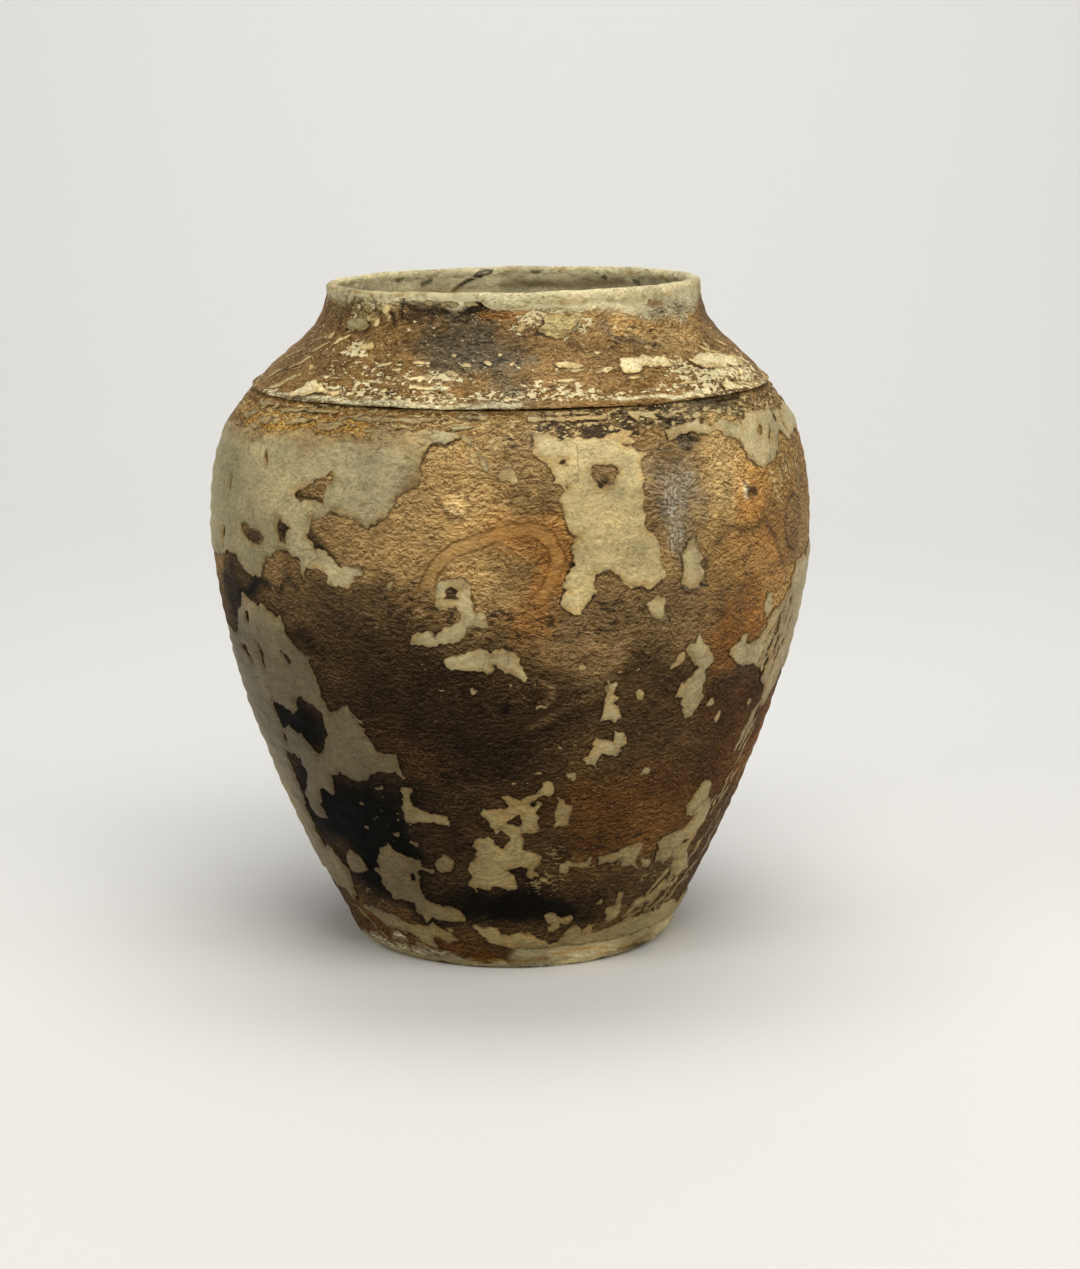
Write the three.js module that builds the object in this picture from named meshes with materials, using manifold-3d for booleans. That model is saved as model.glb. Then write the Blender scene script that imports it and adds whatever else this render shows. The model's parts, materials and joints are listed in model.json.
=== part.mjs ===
// Raku pot: a wheel-thrown jar in two clay sections, with broken patches of pale slip.
// Millimetres, +Z up, standing on its flat foot with the origin at the foot's centre.
// Azimuth 0 faces -Y and grows towards +X.
import * as THREE from 'three';
import { mergeVertices } from 'three/addons/utils/BufferGeometryUtils.js';
import Module from 'manifold-3d';

const wasm = await Module();
wasm.setup();

// Driving dimensions of the lower section
const footRadius = 64;
const footEdgeRise = 3;
const footEdgeFlare = 3.6;
const footBandHeight = 9;
const footBandRadius = 70;
const bellyRadius = 123;
const bellyHeight = 168;
const seamRadius = 106;
const seamHeight = 232;
const lowerCurvePower = 1.57;
const upperCurvePower = 3.2;
const bodyWall = 6;
const seamWall = 7.8;
const footWall = 7.2;
const floorThickness = 8;
const floorCornerRadius = 14;

// Two turned grooves and the undercut below the seam
const undercutHeight = 1.6;
const undercutDepth = 1.2;
const undercutSlopeHeight = 0.5;
const grooveDepth = 0.7;
const grooveHalfWidth = 0.8;
const upperGrooveDrop = 3.6;
const lowerGrooveDrop = 6.6;

// Driving dimensions of the shoulder and neck
const collarHeight = 42;
const ledgeOverhang = 0.4;
const ledgeHeight = 1.4;
const ledgeSlopeHeight = 0.5;
const shoulderConeRadius = 105.2;
const shoulderConeAngle = 48.9;
const neckRadius = 75.8;
const neckFilletRadius = 28;
const collarWall = 6;
const lipThickness = 3.6;

// The seated joint between the two sections
const jointTongueHeight = 2;
const jointTongueWidth = 2.4;
const jointClearance = 0.3;
const collarBaseLand = 1;

// Slip coat
const slipThickness = 0.9;
const slipGap = 0.3;
const rimCoatDrop = 12;

// Faces round the axis and along the curves, with an even number over the lip
const turnSegments = 36;
const bodyCurveSteps = 10;
const bodyShoulderSteps = 5;
const innerCurveStride = 2;
const coneSteps = 3;
const neckFilletSteps = 6;
const lipSteps = 4;
const floorCornerSteps = 3;

// Points of a curve this close to its end are left out, so that no face is a sliver
const leastFaceHeight = 1;

// A patch cutter starts at the axis and ends this far outside the belly
const cutterReach = 40;

// The cutters of the rim coat start this high on the collar, in percent
const rimCutFoot = 60;

const clay = new THREE.MeshStandardMaterial({ color: 0x5a4029, roughness: 0.62, metalness: 0.0 });
const collarClay = new THREE.MeshStandardMaterial({ color: 0x7a5c3c, roughness: 0.6, metalness: 0.0 });
const slip = new THREE.MeshStandardMaterial({ color: 0xb5a681, roughness: 0.5, metalness: 0.0 });

const point = (r, z) => new THREE.Vector2(r, z);
const radians = THREE.MathUtils.degToRad;
const quarterTurn = 90;

// Radius of the lower section's outer face at a height, without grooves.
function bodyRadiusAt(z) {
  if (z <= bellyHeight) {
    const below = (bellyHeight - z) / (bellyHeight - footBandHeight);
    return bellyRadius - (bellyRadius - footBandRadius) * Math.pow(below, lowerCurvePower);
  }
  const above = (z - bellyHeight) / (seamHeight - bellyHeight);
  return bellyRadius - (bellyRadius - seamRadius) * Math.pow(above, upperCurvePower);
}

// Evenly spaced values from first to last.
function spread(first, last, steps) {
  return Array.from({ length: steps + 1 }, (_, i) => THREE.MathUtils.lerp(first, last, i / steps));
}

// Outer line of the lower section from the foot band to the seam, bottom first.
function bodyCurve() {
  const low = spread(footBandHeight, bellyHeight, bodyCurveSteps);
  const high = spread(bellyHeight, seamHeight, bodyShoulderSteps).slice(1);
  return [...low, ...high].map((z) => point(bodyRadiusAt(z), z));
}

// A line moved sideways: positive distances move a rising line away from the axis.
function offsetLine(line, distance) {
  return line.map((at, i) => {
    const before = line[Math.max(i - 1, 0)];
    const after = line[Math.min(i + 1, line.length - 1)];
    const along = after.clone().sub(before).normalize();
    const shift = typeof distance === 'function' ? distance(i / (line.length - 1)) : distance;
    return point(at.x + along.y * shift, at.y - along.x * shift);
  });
}

// An arc about a centre, between two angles measured from the +r direction.
function arc(centre, radius, fromDegrees, toDegrees, steps) {
  return spread(fromDegrees, toDegrees, steps).map((degrees) => {
    const angle = radians(degrees);
    return point(centre.x + radius * Math.cos(angle), centre.y + radius * Math.sin(angle));
  });
}

// Lathe about +Z. The first profile point lies at azimuth 0.
function turned(profile) {
  const geometry = new THREE.LatheGeometry(profile, turnSegments);
  geometry.rotateX(Math.PI / 2);
  return geometry;
}

// A closed mesh with shared vertices as a manifold solid.
function toSolid(geometry) {
  const bare = geometry.clone();
  bare.deleteAttribute('normal');
  bare.deleteAttribute('uv');
  const merged = mergeVertices(bare, 1e-4);
  const index = merged.getIndex().array;
  const triVerts = [];
  for (let i = 0; i < index.length; i += 3) {
    const [a, b, c] = [index[i], index[i + 1], index[i + 2]];
    if (a !== b && b !== c && c !== a) {
      triVerts.push(a, b, c);
    }
  }
  return new wasm.Manifold(new wasm.Mesh({
    numProp: 3,
    vertProperties: new Float32Array(merged.getAttribute('position').array),
    triVerts: new Uint32Array(triVerts),
  }));
}

function toGeometry(solid) {
  const mesh = solid.getMesh();
  const geometry = new THREE.BufferGeometry();
  geometry.setAttribute('position', new THREE.BufferAttribute(new Float32Array(mesh.vertProperties), 3));
  geometry.setIndex(new THREE.BufferAttribute(new Uint32Array(mesh.triVerts), 1));
  return geometry;
}

// Radius of a rising line at a height, straight between its points.
function radiusOn(line, z) {
  const i = line.findIndex((at) => at.y >= z);
  if (i < 1) {
    return i === 0 ? line[0].x : line[line.length - 1].x;
  }
  const t = (z - line[i - 1].y) / (line[i].y - line[i - 1].y);
  return THREE.MathUtils.lerp(line[i - 1].x, line[i].x, t);
}

const bodyLine = bodyCurve();

// A V groove turned into the lower section's outer face at height z.
function groove(z) {
  const levels = [z - grooveHalfWidth, z, z + grooveHalfWidth];
  return levels.map((level, i) => point(radiusOn(bodyLine, level) - (i === 1 ? grooveDepth : 0), level));
}

// The joint face of the lower section lies in this band of radii.
const seamInnerRadius = seamRadius - seamWall;
const tongueMiddle = (seamRadius - undercutDepth + seamInnerRadius) / 2;
const tongueInner = tongueMiddle - jointTongueWidth / 2;
const tongueOuter = tongueMiddle + jointTongueWidth / 2;

// Lower section: foot, belly wall, floor and the rim that carries the collar.
function lowerBodyProfile() {
  const undercutBase = seamHeight - undercutHeight;
  const grooveHeights = [seamHeight - lowerGrooveDrop, seamHeight - upperGrooveDrop];
  const clearOfGrooves = (at) => at.y < grooveHeights[0] - 2 * grooveHalfWidth;
  const outer = [
    ...bodyLine.filter(clearOfGrooves),
    ...grooveHeights.flatMap(groove),
    point(radiusOn(bodyLine, undercutBase), undercutBase),
    point(seamRadius - undercutDepth, undercutBase + undercutSlopeHeight),
    point(seamRadius - undercutDepth, seamHeight),
  ];
  const tongue = [
    point(tongueOuter, seamHeight),
    point(tongueOuter, seamHeight + jointTongueHeight),
    point(tongueInner, seamHeight + jointTongueHeight),
    point(tongueInner, seamHeight),
    point(seamInnerRadius, seamHeight),
  ];
  const cornerTop = floorThickness + floorCornerRadius;
  const inner = offsetLine(bodyLine, -bodyWall)
    .filter((at) => at.y > cornerTop + leastFaceHeight && at.y < seamHeight - bodyWall)
    .filter((at, i) => i % innerCurveStride === 0)
    .reverse();
  const cornerRadius = radiusOn(bodyLine, cornerTop) - footWall - floorCornerRadius;
  const corner = arc(point(cornerRadius, cornerTop), floorCornerRadius, 0, -90, floorCornerSteps);
  return [
    point(0, 0),
    point(footRadius, 0),
    point(footRadius + footEdgeFlare, footEdgeRise),
    ...outer,
    ...tongue,
    ...inner,
    ...corner,
    point(0, floorThickness),
  ];
}

// The clay lip ends below the top of the pot by the slip coat on it.
const coat = slipGap + slipThickness;
const lipRadius = lipThickness / 2;
const lipCentre = point(neckRadius - lipRadius, seamHeight + collarHeight - coat - lipRadius);

// Outer line of the collar: cone, fillet and neck, bottom first.
function collarCurve() {
  const slope = radians(shoulderConeAngle);
  const coneBase = point(shoulderConeRadius, seamHeight + ledgeHeight);
  const meetHeight = coneBase.y + (coneBase.x - neckRadius) / Math.tan(slope);
  const tangent = neckFilletRadius * Math.tan(slope / 2);
  const filletCentre = point(neckRadius + neckFilletRadius, meetHeight + tangent);
  const fillet = arc(filletCentre, neckFilletRadius, 180 + shoulderConeAngle, 180, neckFilletSteps);
  const cone = spread(0, 1, coneSteps).slice(0, -1).map((t) => coneBase.clone().lerp(fillet[0], t));
  const neck = fillet.filter((at) => at.y < lipCentre.y - leastFaceHeight);
  return [...cone, ...neck, point(neckRadius, lipCentre.y)];
}

// Upper section: the ledge, the conical shoulder, the neck and the rounded lip.
function collarProfile() {
  const base = seamHeight + jointClearance;
  const ledgeRadius = seamRadius + ledgeOverhang;
  const curve = collarCurve();
  const wallAt = (t) => -THREE.MathUtils.lerp(collarWall, lipThickness, t);
  const inner = offsetLine(curve, wallAt).filter((at) => at.y < lipCentre.y - leastFaceHeight).reverse();
  const tongueTop = seamHeight + jointTongueHeight + jointClearance;
  const baseInner = seamInnerRadius - collarBaseLand;
  const lowest = inner.filter((at) => at.y > base + ledgeHeight && at.x < baseInner);
  return [
    point(baseInner, base),
    point(tongueInner - jointClearance, base),
    point(tongueInner - jointClearance, tongueTop),
    point(tongueOuter + jointClearance, tongueTop),
    point(tongueOuter + jointClearance, base),
    point(ledgeRadius - ledgeOverhang, base),
    point(ledgeRadius, base + ledgeSlopeHeight),
    ...curve,
    ...arc(lipCentre, lipRadius, 0, 180, lipSteps).slice(1),
    ...lowest,
    point(baseInner, base),
  ];
}

// A thin turned shell that stands the slip gap off a wall line.
function coatOver(line) {
  const near = offsetLine(line, slipGap);
  const far = offsetLine(line, coat);
  return toSolid(turned([...far, ...near.reverse(), far[0]]));
}

// The coat on the lip wraps it from the outside of the neck to the inside.
function rimCoat() {
  const onRim = (at) => at.y > lipCentre.y - rimCoatDrop && at.y < lipCentre.y - leastFaceHeight;
  const skirt = collarCurve().filter(onRim);
  const inside = skirt.map((at) => point(lipCentre.x * 2 - at.x, at.y)).reverse();
  const over = [...skirt, ...arc(lipCentre, lipRadius, 0, 180, lipSteps), ...inside];
  return coatOver(over);
}

const bodySection = {
  line: bodyLine,
  height: (percent) => seamHeight * percent / 100,
  radius: (z) => radiusOn(bodySection.line, z),
};
const collarSection = {
  line: collarCurve(),
  height: (percent) => seamHeight + collarHeight * percent / 100,
  radius: (z) => radiusOn(collarSection.line, z),
};

// The outline as seen from straight in front of it, at the middle azimuth.
function flatOutline(outline, middle, section, clockwise) {
  const flat = outline.map(([azimuth, percent]) => {
    const z = section.height(percent);
    return new THREE.Vector2(section.radius(z) * Math.sin(radians(azimuth - middle)), z);
  });
  return THREE.ShapeUtils.isClockWise(flat) === clockwise ? flat : flat.reverse();
}

// A slip outline is a list of [azimuth in degrees, height in percent of its section].
// Its cutter is the outline, less its holes, pushed out from the axis along the middle azimuth.
function patchCutter(edge, holes, section) {
  const azimuths = edge.map(([azimuth]) => azimuth);
  const middle = (Math.min(...azimuths) + Math.max(...azimuths)) / 2;
  const shape = new THREE.Shape(flatOutline(edge, middle, section, false));
  shape.holes = holes.map((hole) => new THREE.Path(flatOutline(hole, middle, section, true)));
  const depth = bellyRadius + cutterReach;
  const geometry = new THREE.ExtrudeGeometry(shape, { depth, bevelEnabled: false });
  const across = new THREE.Vector3(1, 0, 0);
  const up = new THREE.Vector3(0, 0, 1);
  const outward = new THREE.Vector3(0, -1, 0);
  geometry.applyMatrix4(new THREE.Matrix4().makeBasis(across, up, outward));
  geometry.rotateZ(radians(middle));
  return toSolid(geometry);
}

// Slip patches on the lower section, front first. Each hole is an outline of its own.
const bodySlip = {
  slip_left_panel: {
    edge: [
      [-108, 91], [-104, 93.2], [-98, 92.6], [-92, 94], [-84, 93.4], [-78, 94.6], [-70, 94.5], [-54, 95],
      [-43, 96], [-35.5, 95.2], [-32.5, 96.3], [-27, 95.1], [-26.5, 97], [-22.5, 96.8], [-15.5, 97.3],
      [-10, 97], [-8.3, 96.2], [-11, 95.2], [-14, 95], [-15.5, 93.5], [-15.8, 92], [-15.3, 90],
      [-15.6, 88.5], [-17.5, 87.6], [-20, 86.6], [-20.3, 84.5], [-22, 83], [-23.8, 82.4], [-25.3, 81.4],
      [-28.2, 82.6], [-32.5, 83.5], [-35, 82.4], [-37.3, 82.1], [-37.3, 80.6], [-38, 79], [-36.3, 76.9],
      [-34.2, 77], [-32, 75.4], [-30.8, 74.7], [-26.8, 74.8], [-26.5, 73.7], [-28, 72.3], [-29.2, 70.9],
      [-32, 71.1], [-33.8, 71.6], [-33.9, 72.7], [-36.2, 73.6], [-38.3, 73.5], [-39.4, 71.6], [-40, 74.7],
      [-43.5, 75.8], [-47, 75.5], [-47.7, 74.8], [-50, 74.1], [-50.8, 71.9], [-52, 70.5], [-55, 70],
      [-59.5, 71.8], [-62, 73.2], [-66, 73.2], [-72, 71.6], [-80, 71], [-86, 72.8], [-92, 70.6],
      [-99, 72.4], [-104, 76.5], [-103, 81], [-108.5, 84.5],
    ],
    holes: [
      [
        [-42, 85.7], [-39.4, 86.7], [-36.8, 88.4], [-33.7, 89.9], [-33.5, 88.2], [-34.8, 87.2], [-35, 84.4],
        [-37.2, 85.2], [-41.5, 85.2],
      ],
      [
        [-58, 79.1], [-54.7, 78.5], [-49.8, 78], [-51.3, 76.3], [-54.4, 75.9], [-56.8, 76.8], [-58.3, 77.9],
      ],
      [[-45.9, 81.2], [-42.8, 80], [-44, 78.5], [-44.3, 77.7], [-45.6, 77.6], [-46, 79.1]],
    ],
  },
  slip_bead: {
    edge: [
      [-1.5, 91.4], [0, 91.3], [1.3, 90.9], [1.7, 90.1], [1.4, 89], [0.8, 88.3], [-0.2, 89.2], [-2.1, 90.1],
    ],
  },
  slip_centre_panel: {
    edge: [
      [3.5, 96.3], [7.3, 96.7], [10, 95.8], [17.5, 95.7], [22.5, 96.7], [25, 96.4], [23, 95.6], [24.5, 94.6],
      [22, 94.2], [24, 94], [24.8, 93], [27, 92.7], [24.8, 91.9], [25, 89], [25.1, 86], [24.3, 84.7],
      [24.8, 80.8], [27.2, 78.7], [28.2, 75.3], [29, 73], [27.7, 72.4], [26.8, 71.2], [25.5, 70.6],
      [24, 71.4], [20.4, 72.1], [19.3, 73.7], [17, 74.7], [15.4, 74.2], [14.7, 72.8], [15.7, 71],
      [14.5, 70], [13.3, 68.7], [12.7, 67.4], [11.6, 67.5], [10.1, 68.6], [9.2, 69.4], [9.2, 70.8],
      [10.2, 71.4], [9.4, 72.2], [10.6, 74.8], [12, 75.6], [10.6, 78.9], [11.8, 80.3], [10.2, 81.6],
      [10, 83.1], [8.9, 86.5], [10, 88.2], [8.5, 88.8], [7, 91.8], [4.6, 93.2], [4.8, 95],
    ],
    holes: [
      [
        [15.3, 91.2], [16.5, 91.7], [20, 91.3], [20.5, 90.1], [19.5, 88.9], [17, 87.8], [16.3, 87.6],
        [16, 88.8], [15.2, 90.3],
      ],
      [[9.9, 92.6], [10.7, 92.5], [10.4, 91.9], [9.8, 91.5], [9.5, 91.9]],
    ],
  },
  slip_right_tongue: {
    edge: [
      [35, 79.6], [35.5, 78.3], [36.2, 76.5], [37, 75.2], [35.8, 74], [37.2, 72.5], [37, 71.2],
      [35.8, 70.5], [34, 70.2], [32.2, 71.3], [32.8, 72.7], [32, 75.8], [32.6, 77.3], [33.7, 78.5],
    ],
  },
  slip_upper_right_band: {
    edge: [
      [31.3, 96.1], [36, 96.8], [41.2, 97.2], [44, 96], [46.5, 97], [49, 96.3], [54, 96], [56.5, 97.4],
      [64, 97], [72, 96.2], [79, 97], [86, 95.6], [90, 93.4], [84, 91.6], [77, 92.4], [70, 91],
      [65.8, 93.3], [63.3, 92.3], [62, 90.3], [59, 88.8], [55, 88.2], [50.5, 90], [50, 93], [45.3, 94.8],
      [37.5, 95.3], [34.8, 95], [31.5, 94.6],
    ],
  },
  slip_ring_scroll: {
    edge: [
      [-12, 72.7], [-10.7, 73.5], [-7.3, 73.8], [-6.5, 73], [-6.1, 71], [-5.3, 68.8], [-4.3, 67.3],
      [-3.6, 65.7], [-5.1, 66], [-7.1, 65.6], [-8.1, 64], [-9, 63.3], [-10.9, 62.6], [-13.1, 62.2],
      [-14.9, 62], [-17.4, 62.3], [-18, 62.5], [-17.6, 63.9], [-16.4, 64.3], [-13.4, 64.2], [-13.1, 63.8],
      [-12, 64.8], [-10.2, 66.2], [-8.5, 67], [-8.3, 67.7], [-9.3, 68.9], [-10.8, 68.5], [-12, 68.3],
      [-12.7, 69.3], [-12.6, 71],
    ],
    holes: [[[-11.1, 70.4], [-10.8, 71.8], [-9.8, 72.1], [-8.9, 71.6], [-8.9, 70.6], [-9.8, 70.1]]],
  },
  slip_middle_bar: {
    edge: [
      [-12.4, 59.3], [-11.1, 60.6], [-10.4, 61.2], [-9.5, 60.7], [-6.5, 61.6], [-4.3, 62.2], [-3.3, 61.6],
      [-1.7, 61.7], [-0.2, 62.1], [1.7, 61.2], [2.4, 59.5], [3.7, 56.8], [2.6, 56.6], [1.2, 57.4],
      [-0.3, 57.8], [-2.3, 58.8], [-2.8, 57.1], [-3.8, 57.5], [-5.8, 58.1], [-8.3, 58.1], [-10.3, 58.3],
      [-11.3, 58.7],
    ],
  },
  slip_teardrop: {
    edge: [
      [24.7, 68.5], [26.7, 69.4], [27.5, 69.9], [28.6, 69.2], [28.9, 67.2], [29, 66.1], [32, 65.7],
      [30.6, 65], [27.9, 65.3], [26, 66.9], [25.3, 68],
    ],
  },
  slip_right_wing: {
    edge: [
      [37.5, 62.6], [38.6, 61], [40.5, 59.3], [42, 57.9], [42, 56.7], [40.1, 55.4], [40.6, 53.4],
      [40.1, 51.6], [41.4, 50.5], [40.3, 48.9], [39.1, 47.5], [37.5, 46.9], [36.2, 48.2], [35.2, 51.2],
      [33.9, 51.5], [34.4, 54.1], [35.2, 53.5], [37.4, 55.3], [38.3, 56.1], [37, 57.3], [35.7, 58.5],
      [34.8, 59.6], [35, 60.6], [36.5, 61],
    ],
  },
  slip_right_splinter: {
    edge: [
      [30.8, 56.4], [31.5, 57.1], [32.7, 57.5], [33, 58.6], [33.8, 59.2], [34.4, 59.2], [34.2, 57.8],
      [32, 56.6],
    ],
  },
  slip_right_panel: {
    edge: [
      [55.2, 66.6], [57.2, 66.6], [58.4, 63.6], [61, 63.9], [64.5, 65.2], [66, 66.8], [68.5, 71],
      [76, 70.5], [82, 72.3], [89, 71], [95, 73.6], [101, 71.4], [105, 67], [102, 62.4], [106, 58],
      [101, 53.5], [95, 55], [90, 51.8], [84, 52.5], [79, 49.5], [74, 50], [70, 47], [65, 44.3],
      [64.1, 46.8], [63.2, 48.9], [61, 50.6], [58.3, 53.3], [55.3, 54.2], [50.2, 54.5], [48.3, 56.1],
      [46, 57.4], [46, 58.2], [48.5, 59.2], [48.5, 60.2], [50.3, 61], [50.9, 58.2], [53.3, 58.6],
      [55.5, 59.3], [57.5, 61.5], [55.4, 63.1], [54.7, 63.9],
    ],
    holes: [[[62, 61.5], [63, 62.3], [63.6, 60.4], [62.8, 57.4], [61.6, 58.6]]],
  },
  slip_right_reed: {
    edge: [[65.5, 42.8], [61.5, 41.4], [61, 40.3], [60.3, 37.4], [62, 37.3], [63.3, 39.2], [64.6, 40.6]],
  },
  slip_notched_tablet: {
    edge: [
      [18.4, 56.3], [19.3, 55.6], [20.9, 55.5], [20.1, 54.4], [20, 53.1], [21.3, 52.6], [19.9, 51.6],
      [21.2, 51.1], [22, 49.3], [21, 48.4], [18, 48.6], [18.3, 50.5], [18.8, 52.8],
    ],
  },
  slip_boot: {
    edge: [
      [14.8, 41.6], [16, 42.4], [16.9, 44.4], [17.6, 45.2], [21.1, 45], [21.5, 46.2], [23, 46],
      [23.5, 44.9], [24.3, 44], [23.3, 43.4], [23.5, 42.7], [22.2, 42.3], [20, 42.4], [19, 42.8],
      [18.7, 41.7], [18.1, 40.3], [16.3, 40.8],
    ],
  },
  slip_left_flank: {
    edge: [
      [-60, 66.9], [-57.6, 66], [-55.2, 65.3], [-53.8, 64.7], [-53, 65.8], [-51.6, 65], [-48.2, 64.2],
      [-46.8, 64.9], [-46.6, 63.3], [-46.5, 61.5], [-43.9, 59.1], [-40.3, 58.1], [-41.2, 56.7],
      [-39.9, 53.9], [-40, 51.3], [-38.1, 48.5], [-36.4, 48.6], [-33, 50.4], [-32.6, 49.2], [-30.3, 47.3],
      [-29.9, 44.8], [-28, 41.9], [-26, 41.6], [-23.8, 42.1], [-23, 40.2], [-22.3, 37.6], [-24.5, 38.5],
      [-28.7, 38.3], [-31.6, 36.7], [-33.5, 36], [-37.6, 36.2], [-39.7, 36.7], [-42.5, 35.6],
      [-44.5, 32], [-49.1, 32.8], [-50.4, 29], [-50.5, 26.6], [-55.7, 26.1], [-56.8, 28.2], [-57.2, 30],
      [-54.9, 31.8], [-52.6, 34.2], [-52.3, 38.1], [-58.6, 38.2], [-58.7, 35.3], [-58.6, 32.2],
      [-59.4, 28.7], [-60.2, 25.4], [-60.5, 20.9], [-59.3, 19.7], [-55, 20.1], [-52.3, 17.7],
      [-50.6, 16.2], [-51.7, 13.6], [-51.9, 11.9], [-54.6, 9.6], [-60, 11], [-66, 10.2], [-72, 13.4],
      [-79, 12.2], [-84, 15.8], [-80, 20.5], [-86, 25], [-83, 31], [-89, 36], [-86, 42.5], [-92, 47],
      [-88, 52.5], [-80, 54.4], [-74, 59], [-69, 57.4], [-65.5, 60.2], [-64.5, 63], [-61.5, 64.2],
    ],
    holes: [
      [
        [-57, 47.7], [-53.7, 47.2], [-50.1, 46.6], [-48.3, 47.4], [-47.8, 48.5], [-45.7, 50.3],
        [-42.4, 48.9], [-40.6, 47.8], [-39.8, 43.6], [-41.5, 42.2], [-43.3, 40.5], [-45.9, 40.1],
        [-48.3, 41.4], [-49, 42.8], [-53.7, 43.4], [-56.4, 43], [-57.6, 45.7],
      ],
      [[-60.4, 63], [-59.3, 63.4], [-58.8, 62], [-59.2, 61.2], [-60, 61.4]],
      [[-66, 56.2], [-63.4, 56.5], [-62, 55], [-62.3, 54.4], [-64, 55.4]],
    ],
  },
  slip_low_left_arm: {
    edge: [
      [-24.6, 34.8], [-23.5, 36.1], [-21.7, 35.8], [-22.4, 33.6], [-20.6, 31.9], [-17.5, 31.2],
      [-14.4, 31.3], [-13.3, 30.2], [-13.7, 29.4], [-16.4, 29.7], [-20.3, 29.8], [-24.2, 29.4],
      [-24.7, 30], [-24.1, 32.8],
    ],
  },
  slip_left_capsule: {
    edge: [
      [-49.4, 19.6], [-47.6, 20.5], [-45, 21.1], [-43.2, 20.6], [-42.2, 19.3], [-41.4, 18], [-43.4, 17.4],
      [-46.2, 15.9], [-48.4, 16.2], [-49.7, 16.9],
    ],
  },
  slip_left_low_block: {
    edge: [
      [-34.2, 23.5], [-31.3, 24], [-29.8, 22.5], [-27.3, 21.9], [-23, 21.8], [-22.8, 20.6], [-19.5, 20.1],
      [-18.8, 21.5], [-17.6, 22.6], [-16.2, 24.3], [-15.5, 23.2], [-13.8, 21.9], [-15.3, 20.2],
      [-18.7, 19.8], [-20.8, 19.2], [-24.2, 19.7], [-25, 17.3], [-25.3, 14.9], [-24.5, 13.4],
      [-20.2, 13.1], [-19.7, 12.4], [-16.2, 12.8], [-14.5, 12], [-13.2, 11], [-13.6, 9.9], [-19, 9.6],
      [-23.4, 10], [-26.2, 8.6], [-27.2, 10], [-28.5, 10.8], [-28.6, 12.4], [-30.7, 12.9], [-35.8, 12.5],
      [-37.9, 14.4], [-38.1, 16.9], [-38.7, 18.4], [-36.5, 18.9], [-37.2, 19.9], [-34.8, 22.2],
    ],
    holes: [[[-26.9, 18.6], [-26.2, 18.9], [-26, 17.6], [-26.6, 17.4]]],
  },
  slip_left_foot_sheet: {
    edge: [
      [-50.7, 9.7], [-47.7, 9.8], [-44.7, 9.4], [-38.5, 9.5], [-36.8, 8.7], [-33.2, 7.7], [-26.7, 8],
      [-23.8, 8.9], [-22, 7.7], [-18, 6.9], [-16.5, 5.2], [-19.9, 4.9], [-24.7, 5.3], [-25.7, 3.3],
      [-28.3, 3], [-31.4, 4.5], [-33.3, 5.8], [-41.2, 6.3], [-48.2, 7], [-52.4, 8.4],
    ],
  },
  slip_low_centre: {
    edge: [
      [-5.7, 33.5], [-5.4, 32.7], [-0.5, 32.9], [0.3, 33.8], [-1.7, 35.1], [2.5, 34.6], [6.1, 35.7],
      [6.9, 36.6], [7.1, 37.7], [8.7, 38.2], [9.4, 36.3], [9, 35.3], [6.8, 35], [3.8, 34], [4.9, 33.2],
      [6.9, 34.2], [7.2, 33.1], [6.3, 32.3], [6.9, 31.4], [7.2, 28.1], [3.1, 28], [3.8, 26.8],
      [2.9, 24.8], [5.8, 24.4], [8.3, 23.5], [7.1, 22.2], [6, 20.6], [7.1, 19.8], [4.5, 19.3],
      [4.4, 21.3], [2, 22], [-0.7, 20.7], [1.6, 18.9], [2.3, 17], [0, 16.8], [-3.2, 17.4], [-8.8, 16.9],
      [-8.1, 15.2], [-9.9, 16.7], [-11.5, 17.5], [-10, 19.1], [-10.4, 20.9], [-10, 22.2], [-8.1, 22.8],
      [-7.8, 24.6], [-9.4, 25.6], [-8, 26.8], [-5.1, 27.4], [-3, 25.9], [-1.6, 25.5], [-0.3, 26.9],
      [-1.6, 29.1], [-3.1, 28.2], [-4.5, 29.8], [-4.7, 30.9], [-6.2, 31.6],
    ],
    holes: [[[-0.7, 29.9], [-0.5, 30.6], [1, 31], [2.4, 31.8], [2.8, 31.2], [2.1, 29.8]]],
  },
  slip_low_right_block: {
    edge: [
      [9.8, 34.7], [11, 35.1], [11.9, 34.2], [14.1, 33], [13.5, 29.5], [10.3, 29.2], [9.9, 30.8],
      [10, 32.4], [10.6, 33.7],
    ],
  },
  slip_low_wave: {
    edge: [
      [22.6, 22.4], [24.3, 22.9], [27.6, 23.1], [31.3, 24], [33.3, 24.7], [35.5, 23.6], [34.5, 22.1],
      [34.3, 20], [36.3, 18.6], [34.3, 19.3], [32.6, 20], [29.6, 20.1], [29.1, 21.8], [26.7, 21.1],
      [22.8, 21.2],
    ],
  },
  slip_lower_right: {
    edge: [
      [49.8, 33.9], [52.3, 33], [53, 31.5], [54.5, 29.7], [57, 27.7], [57.8, 25.4], [55.8, 23.8],
      [55, 19.5], [58, 16.8], [60, 15], [54.5, 14.6], [50.7, 15.5], [49.3, 17], [49.4, 18.6],
      [47.5, 19.5], [44.8, 18.7], [41.8, 19.1], [39.9, 20], [41.4, 22], [39, 23.4], [41, 24],
      [45.7, 24.6], [48, 24.9], [49.6, 25.9], [50.6, 27], [47, 27.5], [45.4, 29.8], [46.5, 31.6],
      [48.7, 33.3],
    ],
    holes: [[[50.2, 22.4], [52.6, 22.2], [52.8, 21.1], [51, 21]]],
  },
  slip_foot_hook: {
    edge: [
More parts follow.
